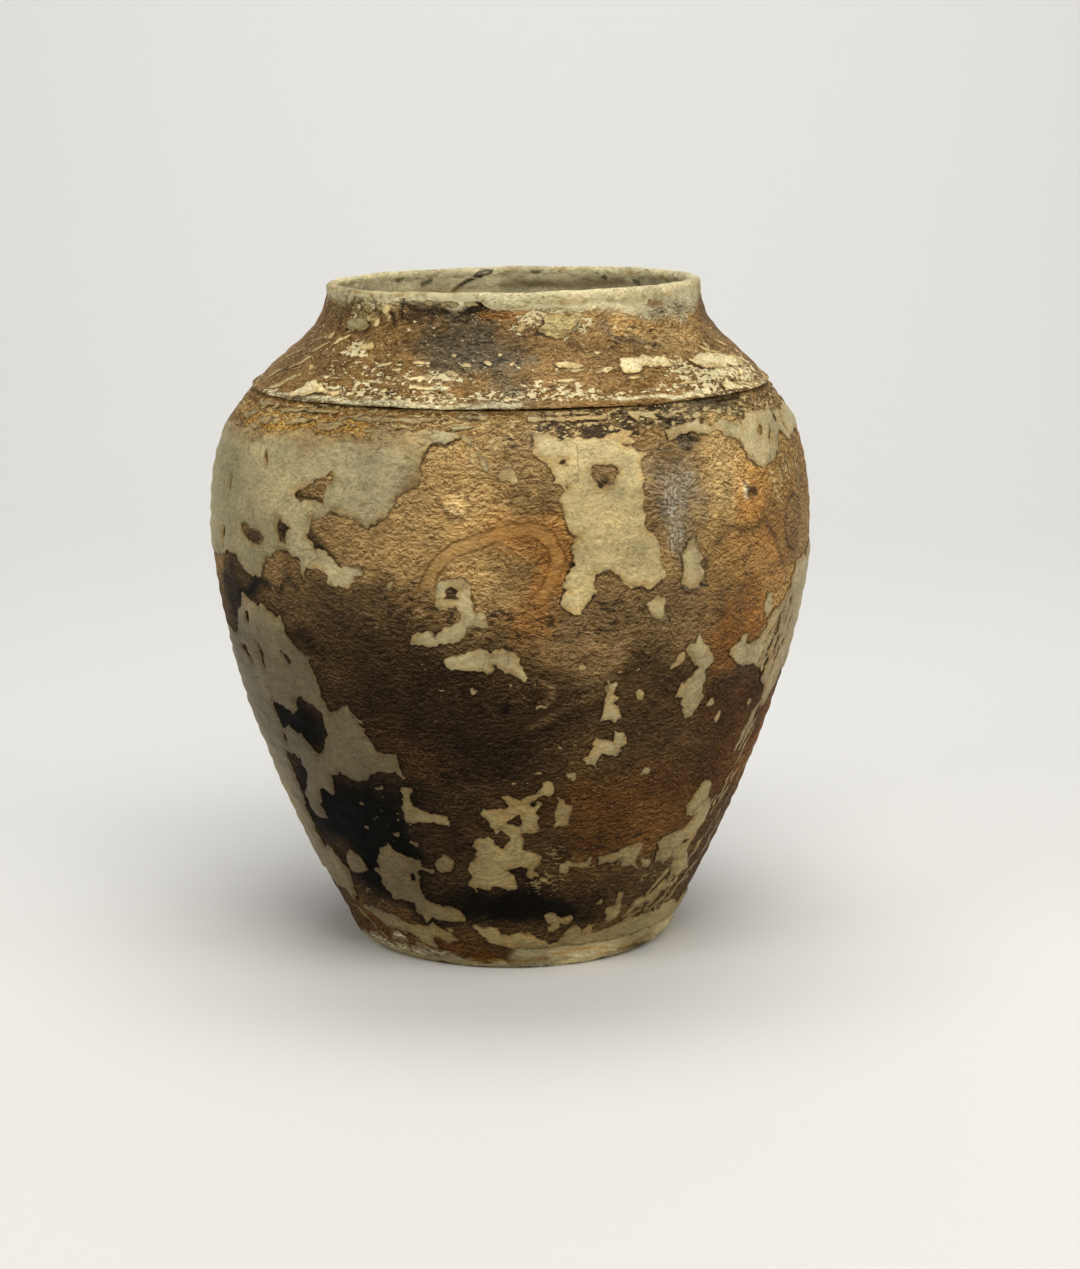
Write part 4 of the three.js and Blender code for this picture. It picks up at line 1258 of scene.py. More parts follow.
class Finish:
    """The three surfaces of the pot."""

    def __init__(self) -> None:
        """Makes the effects that the surfaces share, and the surfaces."""
        self.scales = scale_group()
        self.flecks = fleck_group()
        self.speckle = speckle_group()
        self.mottle = mottle_group()
        self.crackle = crackle_group()
        self.smoked = self._clay("smoked_clay", 0.95, 330.0)
        self.shoulder = self._clay("shoulder_clay", 0.85, 400.0)
        self.slip = self._slip()

    @staticmethod
    def _use(sh: Shader, tree: bpy.types.NodeTree, **inputs: Input) -> bpy.types.Node:
        """Returns a node that uses one of the effects."""
        return sh.node("Group", {"node_tree": tree}, **inputs)

    @staticmethod
    def _start(name: str) -> tuple[bpy.types.Material, Shader, bpy.types.Node]:
        """Starts a material.

        Args:
            name: its name.

        Returns:
            The material, its tree and its surface node.
        """
        made = bpy.data.materials.new(name)
        made.use_nodes = True
        sh = Shader(made.node_tree)
        return made, sh, made.node_tree.nodes["Principled BSDF"]

    def _clay(self, name: str, share: float, crumb_scale: float) -> bpy.types.Material:
        """Makes smoked, scraped and burnished clay crusted with crumbs of slip, with painted light and shade.

        Args:
            name: its name.
            share: how much the scraped scales show, with their painted highlight and painted shade.
            crumb_scale: crumbs of slip in a metre.

        Returns:
            The material.
        """
        made, sh, bsdf = self._start(name)
        where = sh.where()
        tint = self._swirl(sh, sh.attribute("tint", "Color"))
        wild = sh.times(sh.math("SUBTRACT", 1.0, sh.attribute("calm")), share)
        scales = self._use(sh, self.scales)
        # Painted highlight on the upper edges of the scales, and painted shade on their lower edges and in
        # creases. lit lifts the highlight a little more where the clay is bright.
        light = sh.times(scales.outputs["Light"], sh.times(wild, 0.80))
        dark = sh.times(scales.outputs["Painted_Shade"], sh.times(wild, 0.90))
        pale = sh.tinted(tint, (1.65, 1.9, 2.5))
        lit = sh.ramp(sh.node("RGBToBW", Color=tint).outputs[0], 0.004, 0.016)
        pale = sh.mix(lit, pale, sh.mix(1.0, pale, (0.030, 0.021, 0.014), "ADD"))
        shade_colour = sh.tinted(tint, (0.30, 0.24, 0.17))
        colour = sh.mix(light, sh.mix(dark, tint, shade_colour), pale)
        tone = self._use(sh, self.mottle, Amount=1.0).outputs["Tone"]
        colour = sh.tinted(colour, tone)
        amount = sh.attribute("scorch")
        scorch = self._use(sh, self.flecks, Amount=amount, Seed=4.0, Scale=210.0).outputs["Mask"]
        colour = sh.mix(sh.times(scorch, 0.8), colour, (0.022, 0.014, 0.008))
        amount = sh.attribute("crumbs")
        crumbs = self._use(sh, self.flecks, Amount=amount, Seed=9.0, Scale=crumb_scale).outputs["Mask"]
        cream = sh.tinted(sh.attribute("crumb_tint", "Color"), tone)
        colour = sh.mix(sh.times(crumbs, 0.9), colour, cream)
        # Painted glints: fine pale specks laid into the colour where the clay is burnished most.
        glints = self._use(sh, self.speckle, Scale=900.0, Share=0.20).outputs["Mask"]
        glints = sh.times(glints, sh.ramp(sh.attribute("sheen"), 0.7, 1.0))
        colour = sh.mix(sh.times(glints, 0.55), colour, (0.64, 0.59, 0.47))
        # Dark halo along the slip's edges: partly smoke-blackened clay, partly a painted contact shadow that
        # falls below each island.
        ragged = sh.noise(where, 300.0, 3.0)
        patchy = sh.noise(where, 62.0, 2.0)
        reach = sh.math("ADD", sh.attribute("gap"), sh.times(sh.math("SUBTRACT", ragged, 0.5), 2.0))
        soot_and_shadow = sh.times(sh.ramp(reach, 0.8, 0.3), sh.ramp(patchy, 0.42, 0.62, 0.05, 0.75))
        colour = sh.mix(soot_and_shadow, colour, (0.012, 0.007, 0.004))
        sh.feed(bsdf.inputs["Base Color"], colour)
        gloss = sh.times(scales.outputs["Height"], 0.14)
        sh.feed(bsdf.inputs["Roughness"], sh.math("ADD", 0.52, gloss))
        bsdf.inputs["Specular IOR Level"].default_value = 0.05
        sh.feed(bsdf.inputs["Coat Weight"], sh.times(sh.attribute("sheen"), 0.30))
        bsdf.inputs["Coat Roughness"].default_value = 0.36
        height = sh.times(scales.outputs["Height"], wild)
        height = sh.math("ADD", height, sh.times(crumbs, 0.35))
        bump = sh.node("Bump", Height=height, Distance=0.0008)
        bump.inputs["Strength"].default_value = 0.85
        sh.feed(bsdf.inputs["Normal"], bump.outputs["Normal"])
        return made

    def _swirl(self, sh: Shader, colour: bpy.types.NodeSocket) -> bpy.types.NodeSocket:
        """Lays the orange band of the swirl with its two dark lines.

        Args:
            sh: the material's tree.
            colour: the colour under it.

        Returns:
            The new colour.
        """
        away = sh.attribute("swirl")
        where = sh.where()
        drift = sh.times(sh.math("SUBTRACT", sh.noise(where, 130.0, 3.0), 0.5), 3.0)
        away = sh.math("ADD", away, drift)
        fade = sh.ramp(sh.noise(where, 90.0, 2.0), 0.36, 0.54, 0.30, 1.0)
        strength = sh.times(sh.attribute("swirl_strength"), fade)
        band = sh.times(sh.ramp(away, 2.3, 1.0), strength)
        line = sh.times(sh.times(sh.ramp(away, 1.9, 2.5), sh.ramp(away, 3.6, 2.9)), strength)
        colour = sh.mix(sh.times(band, 0.50), colour, (0.46, 0.25, 0.07))
        return sh.mix(sh.times(line, 0.75), colour, (0.16, 0.07, 0.015))

    def _slip(self) -> bpy.types.Material:
        """Makes pale slip, stained and cracked, with painted highlight and shade on its scales and painted
        shade at its broken edges.

        Returns:
            The material.
        """
        made, sh, bsdf = self._start("pale_slip")
        where = sh.where()
        tint = sh.attribute("tint", "Color")
        soft, edge = sh.attribute("soft"), sh.attribute("edge")
        tone = self._use(sh, self.mottle, Amount=0.95).outputs["Tone"]
        colour = sh.tinted(tint, tone)
        grey = sh.ramp(sh.noise(where, 85.0, 4.0, 0.6), 0.50, 0.64)
        colour = sh.mix(sh.times(grey, 0.55), colour, sh.tinted(colour, (0.66, 0.70, 0.62)))
        # Painted shade on the scales' lower edges and in their creases, stronger where the slip is stained,
        # then a painted highlight on their upper edges.
        scales = self._use(sh, self.scales)
        shaded_slip = sh.tinted(colour, (0.55, 0.50, 0.42))
        shade_and_stain = sh.math("ADD", 0.34, sh.times(sh.attribute("stain"), 0.8))
        colour = sh.mix(sh.times(scales.outputs["Painted_Shade"], shade_and_stain), colour, shaded_slip)
        glint = sh.tinted(colour, (1.35, 1.36, 1.36))
        colour = sh.mix(sh.times(scales.outputs["Light"], 0.35), colour, glint)
        near = sh.ramp(sh.math("ADD", edge, sh.times(sh.noise(where, 120.0, 3.0), 9.0)), 7.5, 4.2)
        ochre = sh.tinted(colour, (0.80, 0.62, 0.36))
        colour = sh.mix(sh.times(near, 0.7), colour, ochre)
        amount = sh.attribute("stain")
        stain = self._use(sh, self.flecks, Amount=amount, Seed=2.0, Scale=240.0).outputs["Mask"]
        colour = sh.mix(sh.times(stain, 0.65), colour, (0.20, 0.125, 0.045))
        specks = self._use(sh, self.speckle, Scale=760.0, Share=0.12).outputs["Mask"]
        colour = sh.mix(sh.times(specks, 0.55), colour, (0.13, 0.08, 0.035))
        crack = self._use(sh, self.crackle, Scale=95.0).outputs["Line"]
        colour = sh.mix(sh.times(crack, 0.34), colour, (0.10, 0.065, 0.03))
        # Painted shade along the broken edges of the slip and on their side walls.
        ragged = sh.times(sh.math("SUBTRACT", sh.noise(where, 260.0, 3.0), 0.5), 1.5)
        rim = sh.ramp(sh.math("ADD", edge, ragged), 0.65, 0.05)
        rim = sh.times(rim, sh.math("SUBTRACT", 1.0, soft))
        colour = sh.mix(sh.times(rim, 0.62), colour, (0.07, 0.042, 0.018))
        frayed = sh.math("ADD", edge, sh.times(sh.math("SUBTRACT", sh.noise(where, 170.0, 4.0), 0.5), 9.0))
        thin = sh.times(soft, sh.ramp(frayed, 2.0, 0.2))
        colour = sh.mix(thin, colour, sh.attribute("clay", "Color"))
        sh.feed(bsdf.inputs["Base Color"], colour)
        grain = sh.noise(where, 330.0, 3.0, 0.6)
        sh.feed(bsdf.inputs["Roughness"], sh.math("ADD", 0.42, sh.times(grain, 0.24)))
        bsdf.inputs["Specular IOR Level"].default_value = 0.30
        height = sh.math("ADD", grain, sh.times(scales.outputs["Height"], 0.7))
        height = sh.math("SUBTRACT", height, sh.math("ADD", stain, sh.times(crack, 0.6)))
        bump = sh.node("Bump", Height=height, Distance=0.0006)
        bump.inputs["Strength"].default_value = 0.6
        sh.feed(bsdf.inputs["Normal"], bump.outputs["Normal"])
        return made


P = Pigment

BODY_MARKS: list[Zone | Stroke] = [
    Zone(0, 82, 180, 26, P.TAN, 0.8),
    Zone(0, 45, 180, 20, P.DARK_UMBER, 0.85),
    Zone(0, 15, 180, 20, P.UMBER, 0.6),
    Zone(-7, 86, 18, 13, P.TAN, 1.0),
    Zone(-10, 76, 14, 6, P.TAN, 0.8),
    Zone(52, 80, 20, 17, P.AMBER, 0.95),
    Zone(44, 88, 8, 8, P.HONEY, 0.5),
    Zone(58, 78, 9, 10, P.RUST, 0.45),
    Zone(48, 62, 7, 6, P.RUST, 0.8),
    # Painted highlight: grey sheen patch, with a darker smudge in it.
    Zone(31.5, 83, 3.6, 8, P.GREY_HIGHLIGHT, 0.7),
    Zone(30.4, 84.5, 1.8, 2.6, P.SMUDGE, 0.55),
    Zone(22, 65, 15, 6, P.GREY_BROWN, 0.85),
    Zone(-28, 67, 14, 8, P.DARK_UMBER, 0.75),
    Zone(-42, 72, 7, 4, P.UMBER, 0.6),
    Zone(-62, 65, 14, 7, P.SOOT, 0.97),
    Zone(-18, 49, 22, 12, P.SOOT, 0.8),
    Zone(-7, 44, 7, 7, P.SOOT, 0.8),
    Stroke([(-10, 40), (12, 50)], 14, 10, P.SOOT, 0.5),
    Zone(-22, 43, 7, 5, P.REDDISH, 0.25),
    Zone(-41, 25, 22, 12, P.GREEN_BLACK, 1.0),
    Zone(-38, 30, 16, 8, P.GREEN_BLACK, 1.0),
    Zone(-12, 28, 9, 7, P.DARK_UMBER, 0.8),
    Zone(-14, 24, 10, 9, P.SOOT, 0.6),
    Zone(-31, 17, 12, 7, P.GREEN_BLACK, 0.9),
    Zone(-16, 12, 14, 5, P.SOOT, 0.85),
    Zone(6, 13.5, 22, 5.5, P.GREEN_BLACK, 0.95),
    Zone(28, 30, 18, 10, P.REDDISH, 0.85),
    Zone(25, 46, 14, 9, P.UMBER, 0.75),
    Zone(57, 38, 14, 13, P.REDDISH, 0.95),
    Zone(76, 40, 8, 16, P.RUST, 0.6),
    Zone(-36, 5, 26, 2.4, P.REDDISH, 0.8),
    # Painted shadow along the lower-left edge of the bare clay bay in the left slip panel.
    Stroke([(-38, 81), (-37, 78), (-34, 76.5), (-31, 74.5)], 3.0, 3.0, P.SOOT, 0.85),
    Stroke([(-48, 59), (-43, 62), (-40, 60)], 6.0, 5.0, P.SOOT, 0.9),
    Zone(0, 0.6, 180, 1.6, P.PALE, 0.9, 0.0, 0.35),
    Zone(50, 73.5, 13, 7, P.RUST, 0.38),
    Zone(54, 85, 5, 7, P.ORANGE, 0.22),
    Zone(32, 68, 6, 3, P.GREY_BROWN, 0.5),
    Stroke([(0, 81), (6, 80), (8, 75), (6, 71), (3, 67)], 11, 9, P.ORANGE, 0.42),
    Zone(8.5, 74, 3.6, 9, P.ORANGE, 0.36),
    Zone(-45, 97.4, 34, 3.0, P.OCHRE, 0.6),
    Zone(-45, 98.6, 30, 1.6, P.EARTH, 0.6),
    # Painted shadow under the ledge on the right.
    Zone(42, 98.2, 19, 2.4, P.SMUDGE, 0.9),
    Zone(15, 97.5, 6, 2.4, P.UMBER, 0.6),
    Zone(150, 86, 24, 11, P.TAN, 0.9),
    Zone(-150, 82, 22, 14, P.AMBER, 0.7),
    Zone(178, 58, 16, 7, P.GREY_BROWN, 0.6),
    Zone(112, 76, 12, 8, P.RUST, 0.5),
    Zone(-118, 64, 16, 10, P.SOOT, 0.8),
    Zone(-100, 84, 12, 9, P.HONEY, 0.4),
    Zone(140, 35, 20, 9, P.REDDISH, 0.75),
    Zone(-165, 20, 26, 10, P.GREEN_BLACK, 0.9),
    Zone(-104, 34, 22, 13, P.SOOT, 0.85),
    Zone(108, 18, 20, 7, P.GREEN_BLACK, 0.8),
    Zone(-138, 50, 14, 7, P.REDDISH, 0.6),
    Zone(160, 97.6, 34, 3, P.OCHRE, 0.45),
    Zone(-108, 97.8, 24, 2.6, P.SMUDGE, 0.85),
    Stroke([(128, 64), (136, 68.4), (147, 70), (157, 67), (161, 60), (158, 54)], 3.4, 2.6, P.ORANGE, 0.55),
    Stroke([(206, 72), (214, 76), (222, 72), (226, 64)], 3.0, 2.6, P.ORANGE, 0.45),
]

BODY_FINE: list[Zone | Stroke] = [
    # Painted shadow in the undercut below the ledge on the right.
    Stroke([(49.5, 99.6), (58.5, 99.6)], 1.8, 0.9, P.SOOT, 0.95),
    Stroke([(-19, 99.5), (2, 99.5)], 1.6, 0.9, P.REDDISH, 0.9),
    Stroke([(-44.5, 99.3), (-42.5, 99.3)], 1.4, 0.8, P.SOOT, 0.9),
    Stroke([(-41, 99.1), (-39, 99.1)], 1.4, 0.8, P.SOOT, 0.9),
    Stroke([(-27, 97.4), (-16, 97.5)], 1.2, 0.9, P.UMBER, 0.7),
    Zone(35.8, 93.8, 2.2, 1.4, P.SMUDGE, 0.9, 20.0, 0.3),
    Stroke([(33, 95.2), (36, 95.7), (39, 95.8)], 1.2, 0.8, P.SOOT, 0.9),
    Stroke([(37, 94.4), (38.6, 94.2)], 1.6, 0.8, P.SOOT, 0.85),
    Stroke([(28.6, 92), (33, 92.3)], 1.0, 0.8, P.OCHRE, 0.7),
    Zone(52, 84.5, 1.3, 1.0, P.DARK_UMBER, 0.95, 0.0, 0.3),
    Zone(49.6, 84.8, 0.7, 1.5, P.PALE, 0.85, 0.0, 0.4),
    Stroke([(48.6, 86.6), (49.6, 85.4), (49.9, 83.8)], 1.0, 0.7, P.DARK_UMBER, 0.9),
    Stroke([(57, 90.3), (57.6, 91.3), (58.6, 90.6), (58.8, 89.4)], 1.1, 0.7, P.UMBER, 0.85),
    Zone(67, 77.5, 3.8, 4.2, P.GREY_BROWN, 0.6),
    Stroke([(66.5, 82.6), (64, 82), (62.4, 79), (62.6, 76), (64.4, 73.6), (67.5, 72.4)], 1.5, 1.1, P.UMBER,
        0.85),
    Stroke([(66.5, 82.6), (69.4, 81.4), (71, 79.4)], 1.5, 1.1, P.UMBER, 0.7),
    Stroke([(40.5, 77.4), (44, 79.4), (48, 78.9), (51, 78.4), (53.4, 79.4)], 2.2, 1.8, P.UMBER, 0.65),
    Stroke([(53.8, 81), (55.6, 78.2), (58, 75.8), (60, 73.4), (62, 70.6)], 1.8, 1.6, P.UMBER, 0.7),
    Stroke([(57.6, 87.8), (58.8, 84.4), (60, 81.8)], 1.4, 1.0, P.WARM_CREAM, 0.7),
    Stroke([(60.6, 87.6), (61.6, 84.6)], 1.2, 0.9, P.WARM_CREAM, 0.7),
    Stroke([(63.4, 88.6), (64.4, 85.4)], 1.2, 0.9, P.WARM_CREAM, 0.6),
    Stroke([(36.2, 74.4), (37.6, 74.8), (38, 73.8), (36.8, 73.2), (36, 73.8)], 1.0, 0.7, P.DARK_UMBER, 0.85),
    Zone(34.2, 70.4, 1.7, 0.6, P.PALE, 0.9, 0.0, 0.3),
    Zone(35.2, 71.8, 2.0, 0.7, P.PALE, 0.75, 0.0, 0.4),
    Stroke([(32.2, 70.4), (34, 69.5), (36, 70), (38, 71)], 0.9, 0.7, P.UMBER, 0.85),
    Stroke([(-2, 44), (6, 47), (14, 50), (20, 52)], 1.6, 1.4, P.SOOT, 0.6),
    Stroke([(4, 48), (12, 52), (18, 54)], 1.2, 1.2, P.GREY_BROWN, 0.4),
    Zone(-0.6, 51.7, 1.2, 1.2, P.GREEN_BLACK, 0.8, 0.0, 0.4),
    Stroke([(6, 52), (7.6, 53), (7.6, 55.4), (6, 56)], 1.2, 0.9, P.GREY_BROWN, 0.7),
    Zone(11, 75.2, 0.9, 0.9, P.SOOT, 0.9, 0.0, 0.4),
    Zone(-9.2, 85.6, 2.0, 1.5, P.HONEY, 0.8, 0.0, 0.3),
    # Painted shadow in the lower part of a hole in the left slip panel.
    Zone(-55, 77.1, 3.6, 1.4, P.GREEN_BLACK, 0.8, 0.0, 0.4),
    Zone(-44.8, 79.2, 1.6, 1.8, P.SOOT, 0.95, 0.0, 0.4),
    # Painted shadow along the lower-left edge of a hole in the left slip panel.
    Stroke([(-42, 85.5), (-38.6, 85.5), (-36, 84.9)], 1.6, 1.2, P.SOOT, 0.85),
    Zone(18, 90.2, 2.2, 1.6, P.GREY_BROWN, 0.7, 0.0, 0.4),
    Stroke([(16.2, 88.3), (17.2, 88.8), (18.6, 89)], 1.7, 1.0, P.SOOT, 0.95),
    Zone(10.2, 92.0, 0.8, 0.7, P.SOOT, 0.95, 0.0, 0.4),
    Zone(-49.5, 44.8, 9.5, 4.4, P.GREEN_BLACK, 0.97, 0.0, 0.4),
    Zone(-9.9, 71.1, 1.3, 1.3, P.SOOT, 0.9, 0.0, 0.4),
    Stroke([(-62, 66), (-57, 67.5), (-53, 70), (-50, 69.5)], 3.4, 2.0, P.GREEN_BLACK, 0.85),
    Stroke([(-47, 68.5), (-44, 71.5), (-42, 70)], 2.4, 1.6, P.SOOT, 0.75),
    # Painted shadow along the lower-left edge of the bare clay bay in the left slip panel.
    Stroke([(-40, 82), (-38.6, 79), (-36, 77), (-33, 75.4)], 2.6, 1.6, P.SOOT, 0.9),
    Stroke([(-70, 96.6), (-56, 97.4), (-42, 97.2), (-30, 97.8)], 1.2, 0.9, P.OCHRE, 0.9),
    Stroke([(-66, 95.2), (-54, 95.8), (-47, 95.6)], 1.6, 1.0, P.OCHRE, 0.9),
    Stroke([(-44, 98.4), (-34, 98.5), (-22, 98.2)], 0.9, 0.8, P.RUST, 0.8),
    Stroke([(-11.4, 85.2), (-10.4, 83.7), (-8, 83.6), (-6.7, 85.4), (-7.6, 87)], 1.3, 0.9, P.UMBER, 0.75),
    Stroke([(-60, 3.6), (-40, 3.2), (-20, 3.4), (-6, 3.0)], 3.4, 1.6, P.REDDISH, 0.8),
    Stroke([(-14, 1.5), (0, 1.8), (12, 1.6)], 1.0, 0.8, P.OCHRE, 0.8),
    Stroke([(14, 2.6), (24, 3.4), (34, 2.8)], 1.0, 0.8, P.OCHRE, 0.8),
    Stroke([(20, 4.6), (28, 5.0), (36, 4.2), (44, 4.4)], 1.0, 0.8, P.OCHRE, 0.7),
    Stroke([(32, 1.6), (46, 2.4), (60, 3.2)], 1.0, 0.8, P.OCHRE, 0.7),
    Stroke([(30, 8.6), (42, 9.4), (52, 11.0), (60, 13)], 2.4, 1.4, P.REDDISH, 0.7),
    Stroke([(52, 7.4), (62, 9.4), (72, 12)], 1.4, 1.0, P.UMBER, 0.6),
]

FOOT_SHEET: list[Zone | Stroke] = [
    Stroke([(-180, 0.9), (-90, 0.9), (0, 0.9), (90, 0.9), (180, 0.9)], 3.4, 1.2, P.PALE, 1.0),
    Stroke([(2, 3.2), (22, 3.6), (50, 4.0), (78, 4.2)], 7.6, 2.0, P.PALE, 1.0),
    Stroke([(24, 5.6), (34, 5.2), (46, 5.8)], 4.0, 2.0, P.PALE, 0.9),
    Stroke([(100, 2.4), (150, 3.2)], 4.0, 2.0, P.PALE, 0.8),
]

SWIRL: list[Place] = [
    (-14.5, 72), (-13.4, 74.6), (-12, 76.4), (-9, 78.4), (-6, 79.6), (-3, 80.5), (0, 81.3), (3, 81.6),
    (5.5, 81.2),
    (7.5, 79.6), (8.8, 77.0), (8.2, 74.5), (7, 72.3), (5, 69.6), (3.4, 66.4),
]

BODY_CRUMBS: list[Zone | Stroke] = [
    Zone(0, 98, 180, 2.6, None, 0.55, 0.0, 0.4),
    Zone(-46, 97.6, 32, 3.4, None, 0.46, 0.0, 0.4),
    Zone(-10, 93, 12, 4, None, 0.5),
    Zone(30, 97, 9, 3, None, 0.5),
    Zone(0, 55, 26, 8, None, 0.30),
    Zone(-4, 63, 40, 6, None, 0.34),
    Zone(28, 37, 22, 5, None, 0.30),
    Zone(14, 42, 14, 6, None, 0.35),
    Zone(12, 21, 9, 5, None, 0.55),
    Zone(32, 22, 10, 5, None, 0.45),
    Zone(44, 16, 12, 6, None, 0.5),
    Zone(-28, 29, 14, 8, None, 0.35),
    Zone(20, 57, 15, 5, None, 0.35),
    Zone(60, 62, 10, 7, None, 0.45),
    Zone(45, 8, 18, 4, None, 0.6),
    Zone(-30, 8, 22, 4, None, 0.4),
    Zone(150, 50, 90, 40, None, 0.25),
]

BODY_SCORCH: list[Zone | Stroke] = [
    Zone(0, 97, 180, 3, None, 0.42),
    Zone(0, 50, 40, 20, None, 0.35),
    Zone(-5, 66, 46, 7, None, 0.52),
    Zone(40, 70, 30, 12, None, 0.40),
    Zone(26, 24, 24, 6, None, 0.5),
    Zone(30, 30, 25, 14, None, 0.35),
    Zone(20, 97, 22, 3, None, 0.7),
    Zone(60, 75, 16, 12, None, 0.3),
    Zone(0, 6, 180, 5, None, 0.4),
]

BODY_SHEEN: list[Zone | Stroke] = [
    # The first zone is strong enough for painted glints and lies on the grey sheen patch; the others give a
    # coat only.
    Zone(32, 82.5, 4, 8, None, 1.0),
    Zone(0, 84, 60, 16, None, 0.5),
    Zone(50, 76, 20, 18, None, 0.6),
]

SLIP_MARKS: list[Zone | Stroke] = [
    Zone(-45, 84, 40, 14, P.CREAM, 0.8),
    Zone(-50, 75, 12, 5, P.GREEN_CREAM, 0.8),
    Zone(-68, 84, 12, 12, P.GREEN_CREAM, 0.8),
    Zone(17, 82, 14, 16, P.YELLOW_CREAM, 0.9),
    Zone(22, 77, 6, 5, P.GREY_GREEN, 0.25),
    Zone(23, 89, 4, 3, P.GREY_GREEN, 0.4),
    Stroke([(-72, 93), (-50, 95), (-28, 95), (-16, 96)], 5, 5, P.OCHRE, 0.4),
    Zone(-18, 89, 4, 7, P.BROWN_SLIP, 0.6),
    Zone(-30, 87, 10, 8, P.GREY_GREEN, 0.28),
    # Painted shade: the slip on the left flank is darkened.
    Zone(-56, 50, 26, 20, P.FLANK_SHADE, 0.95),
    Zone(-40, 42, 12, 10, P.FLANK_SHADE, 0.8),
    Zone(-40, 22, 28, 16, P.FLANK_SHADE, 0.85),
    Zone(0, 4, 180, 5, P.STRAW, 0.4),
    Zone(3, 27, 15, 12, P.STRAW, 0.8),
    Zone(69, 55, 10, 16, P.BROWN_SLIP, 0.35),
]

SLIP_STAIN: list[Zone | Stroke] = [
    Stroke([(-72, 93), (-50, 95.5), (-28, 95.5), (-16, 96)], 6, 5, None, 0.55),
    Zone(-18, 90, 5, 6, None, 0.42),
    Zone(-45, 85, 40, 14, None, 0.26),
    Zone(17, 82, 14, 16, None, 0.31),
    Zone(-50, 48, 30, 22, None, 0.46),
    Zone(-35, 20, 30, 18, None, 0.54),
    Zone(4, 28, 18, 14, None, 0.44),
    Zone(40, 30, 24, 24, None, 0.46),
    Zone(10, 4, 60, 4, None, 0.52),
    Zone(62, 40, 20, 30, None, 0.38),
]

SHOULDER_MARKS: list[Zone | Stroke] = [
    Zone(42, 66, 26, 22, P.AMBER, 0.55),
    Zone(45, 76, 30, 10, P.ORANGE, 0.16),
    Zone(46, 58, 20, 26, P.HONEY, 0.34),
    Zone(-47, 84, 17, 11, P.STRAW, 0.75),
    Zone(-11, 64, 7, 10, P.SMUDGE, 0.85),
    Zone(-10, 47, 11, 12, P.SMUDGE, 0.9),
    Zone(-6, 36, 9, 9, P.SMUDGE, 0.85),
    Zone(0, 24, 7, 11, P.SMUDGE, 0.8),
    Zone(5, 11, 5, 6, P.SMUDGE, 0.7),
    Zone(-15, 84, 11, 7, P.GREY_BROWN, 0.8),
    Zone(35, 50, 11, 6, P.SMUDGE, 0.75),
    Stroke([(-64, 3), (-30, 3), (4, 3)], 2.6, 1.6, P.PALE, 0.85),
    Stroke([(4, 3), (12, 3)], 2.6, 1.6, P.GREY_BROWN, 0.8),
    Stroke([(22, 4), (48, 4)], 1.4, 1.0, P.PALE, 0.8),
    Stroke([(58, 4), (85, 5)], 2.6, 1.6, P.HONEY, 0.7),
    Zone(150, 2, 70, 4, P.STRAW, 0.7),
    Stroke([(8, 89), (30, 88), (50, 86), (80, 86)], 6.0, 4.0, P.RIM_CREAM, 0.85),
    Stroke([(-80, 92), (-40, 94), (-5, 93)], 3.0, 3.0, P.RIM_CREAM, 0.8),
    Stroke([(90, 88), (180, 88)], 5.0, 4.0, P.RIM_CREAM, 0.8),
    Stroke([(180, 88), (270, 88)], 5.0, 4.0, P.RIM_CREAM, 0.8),
    Zone(57, 83, 13, 5, P.RIM_CREAM, 0.5),
    Stroke([(42, 86), (42, 75)], 3.0, 2.4, P.RIM_CREAM, 0.75),
    Zone(32, 88, 3, 5, P.RIM_CREAM, 0.7),
]

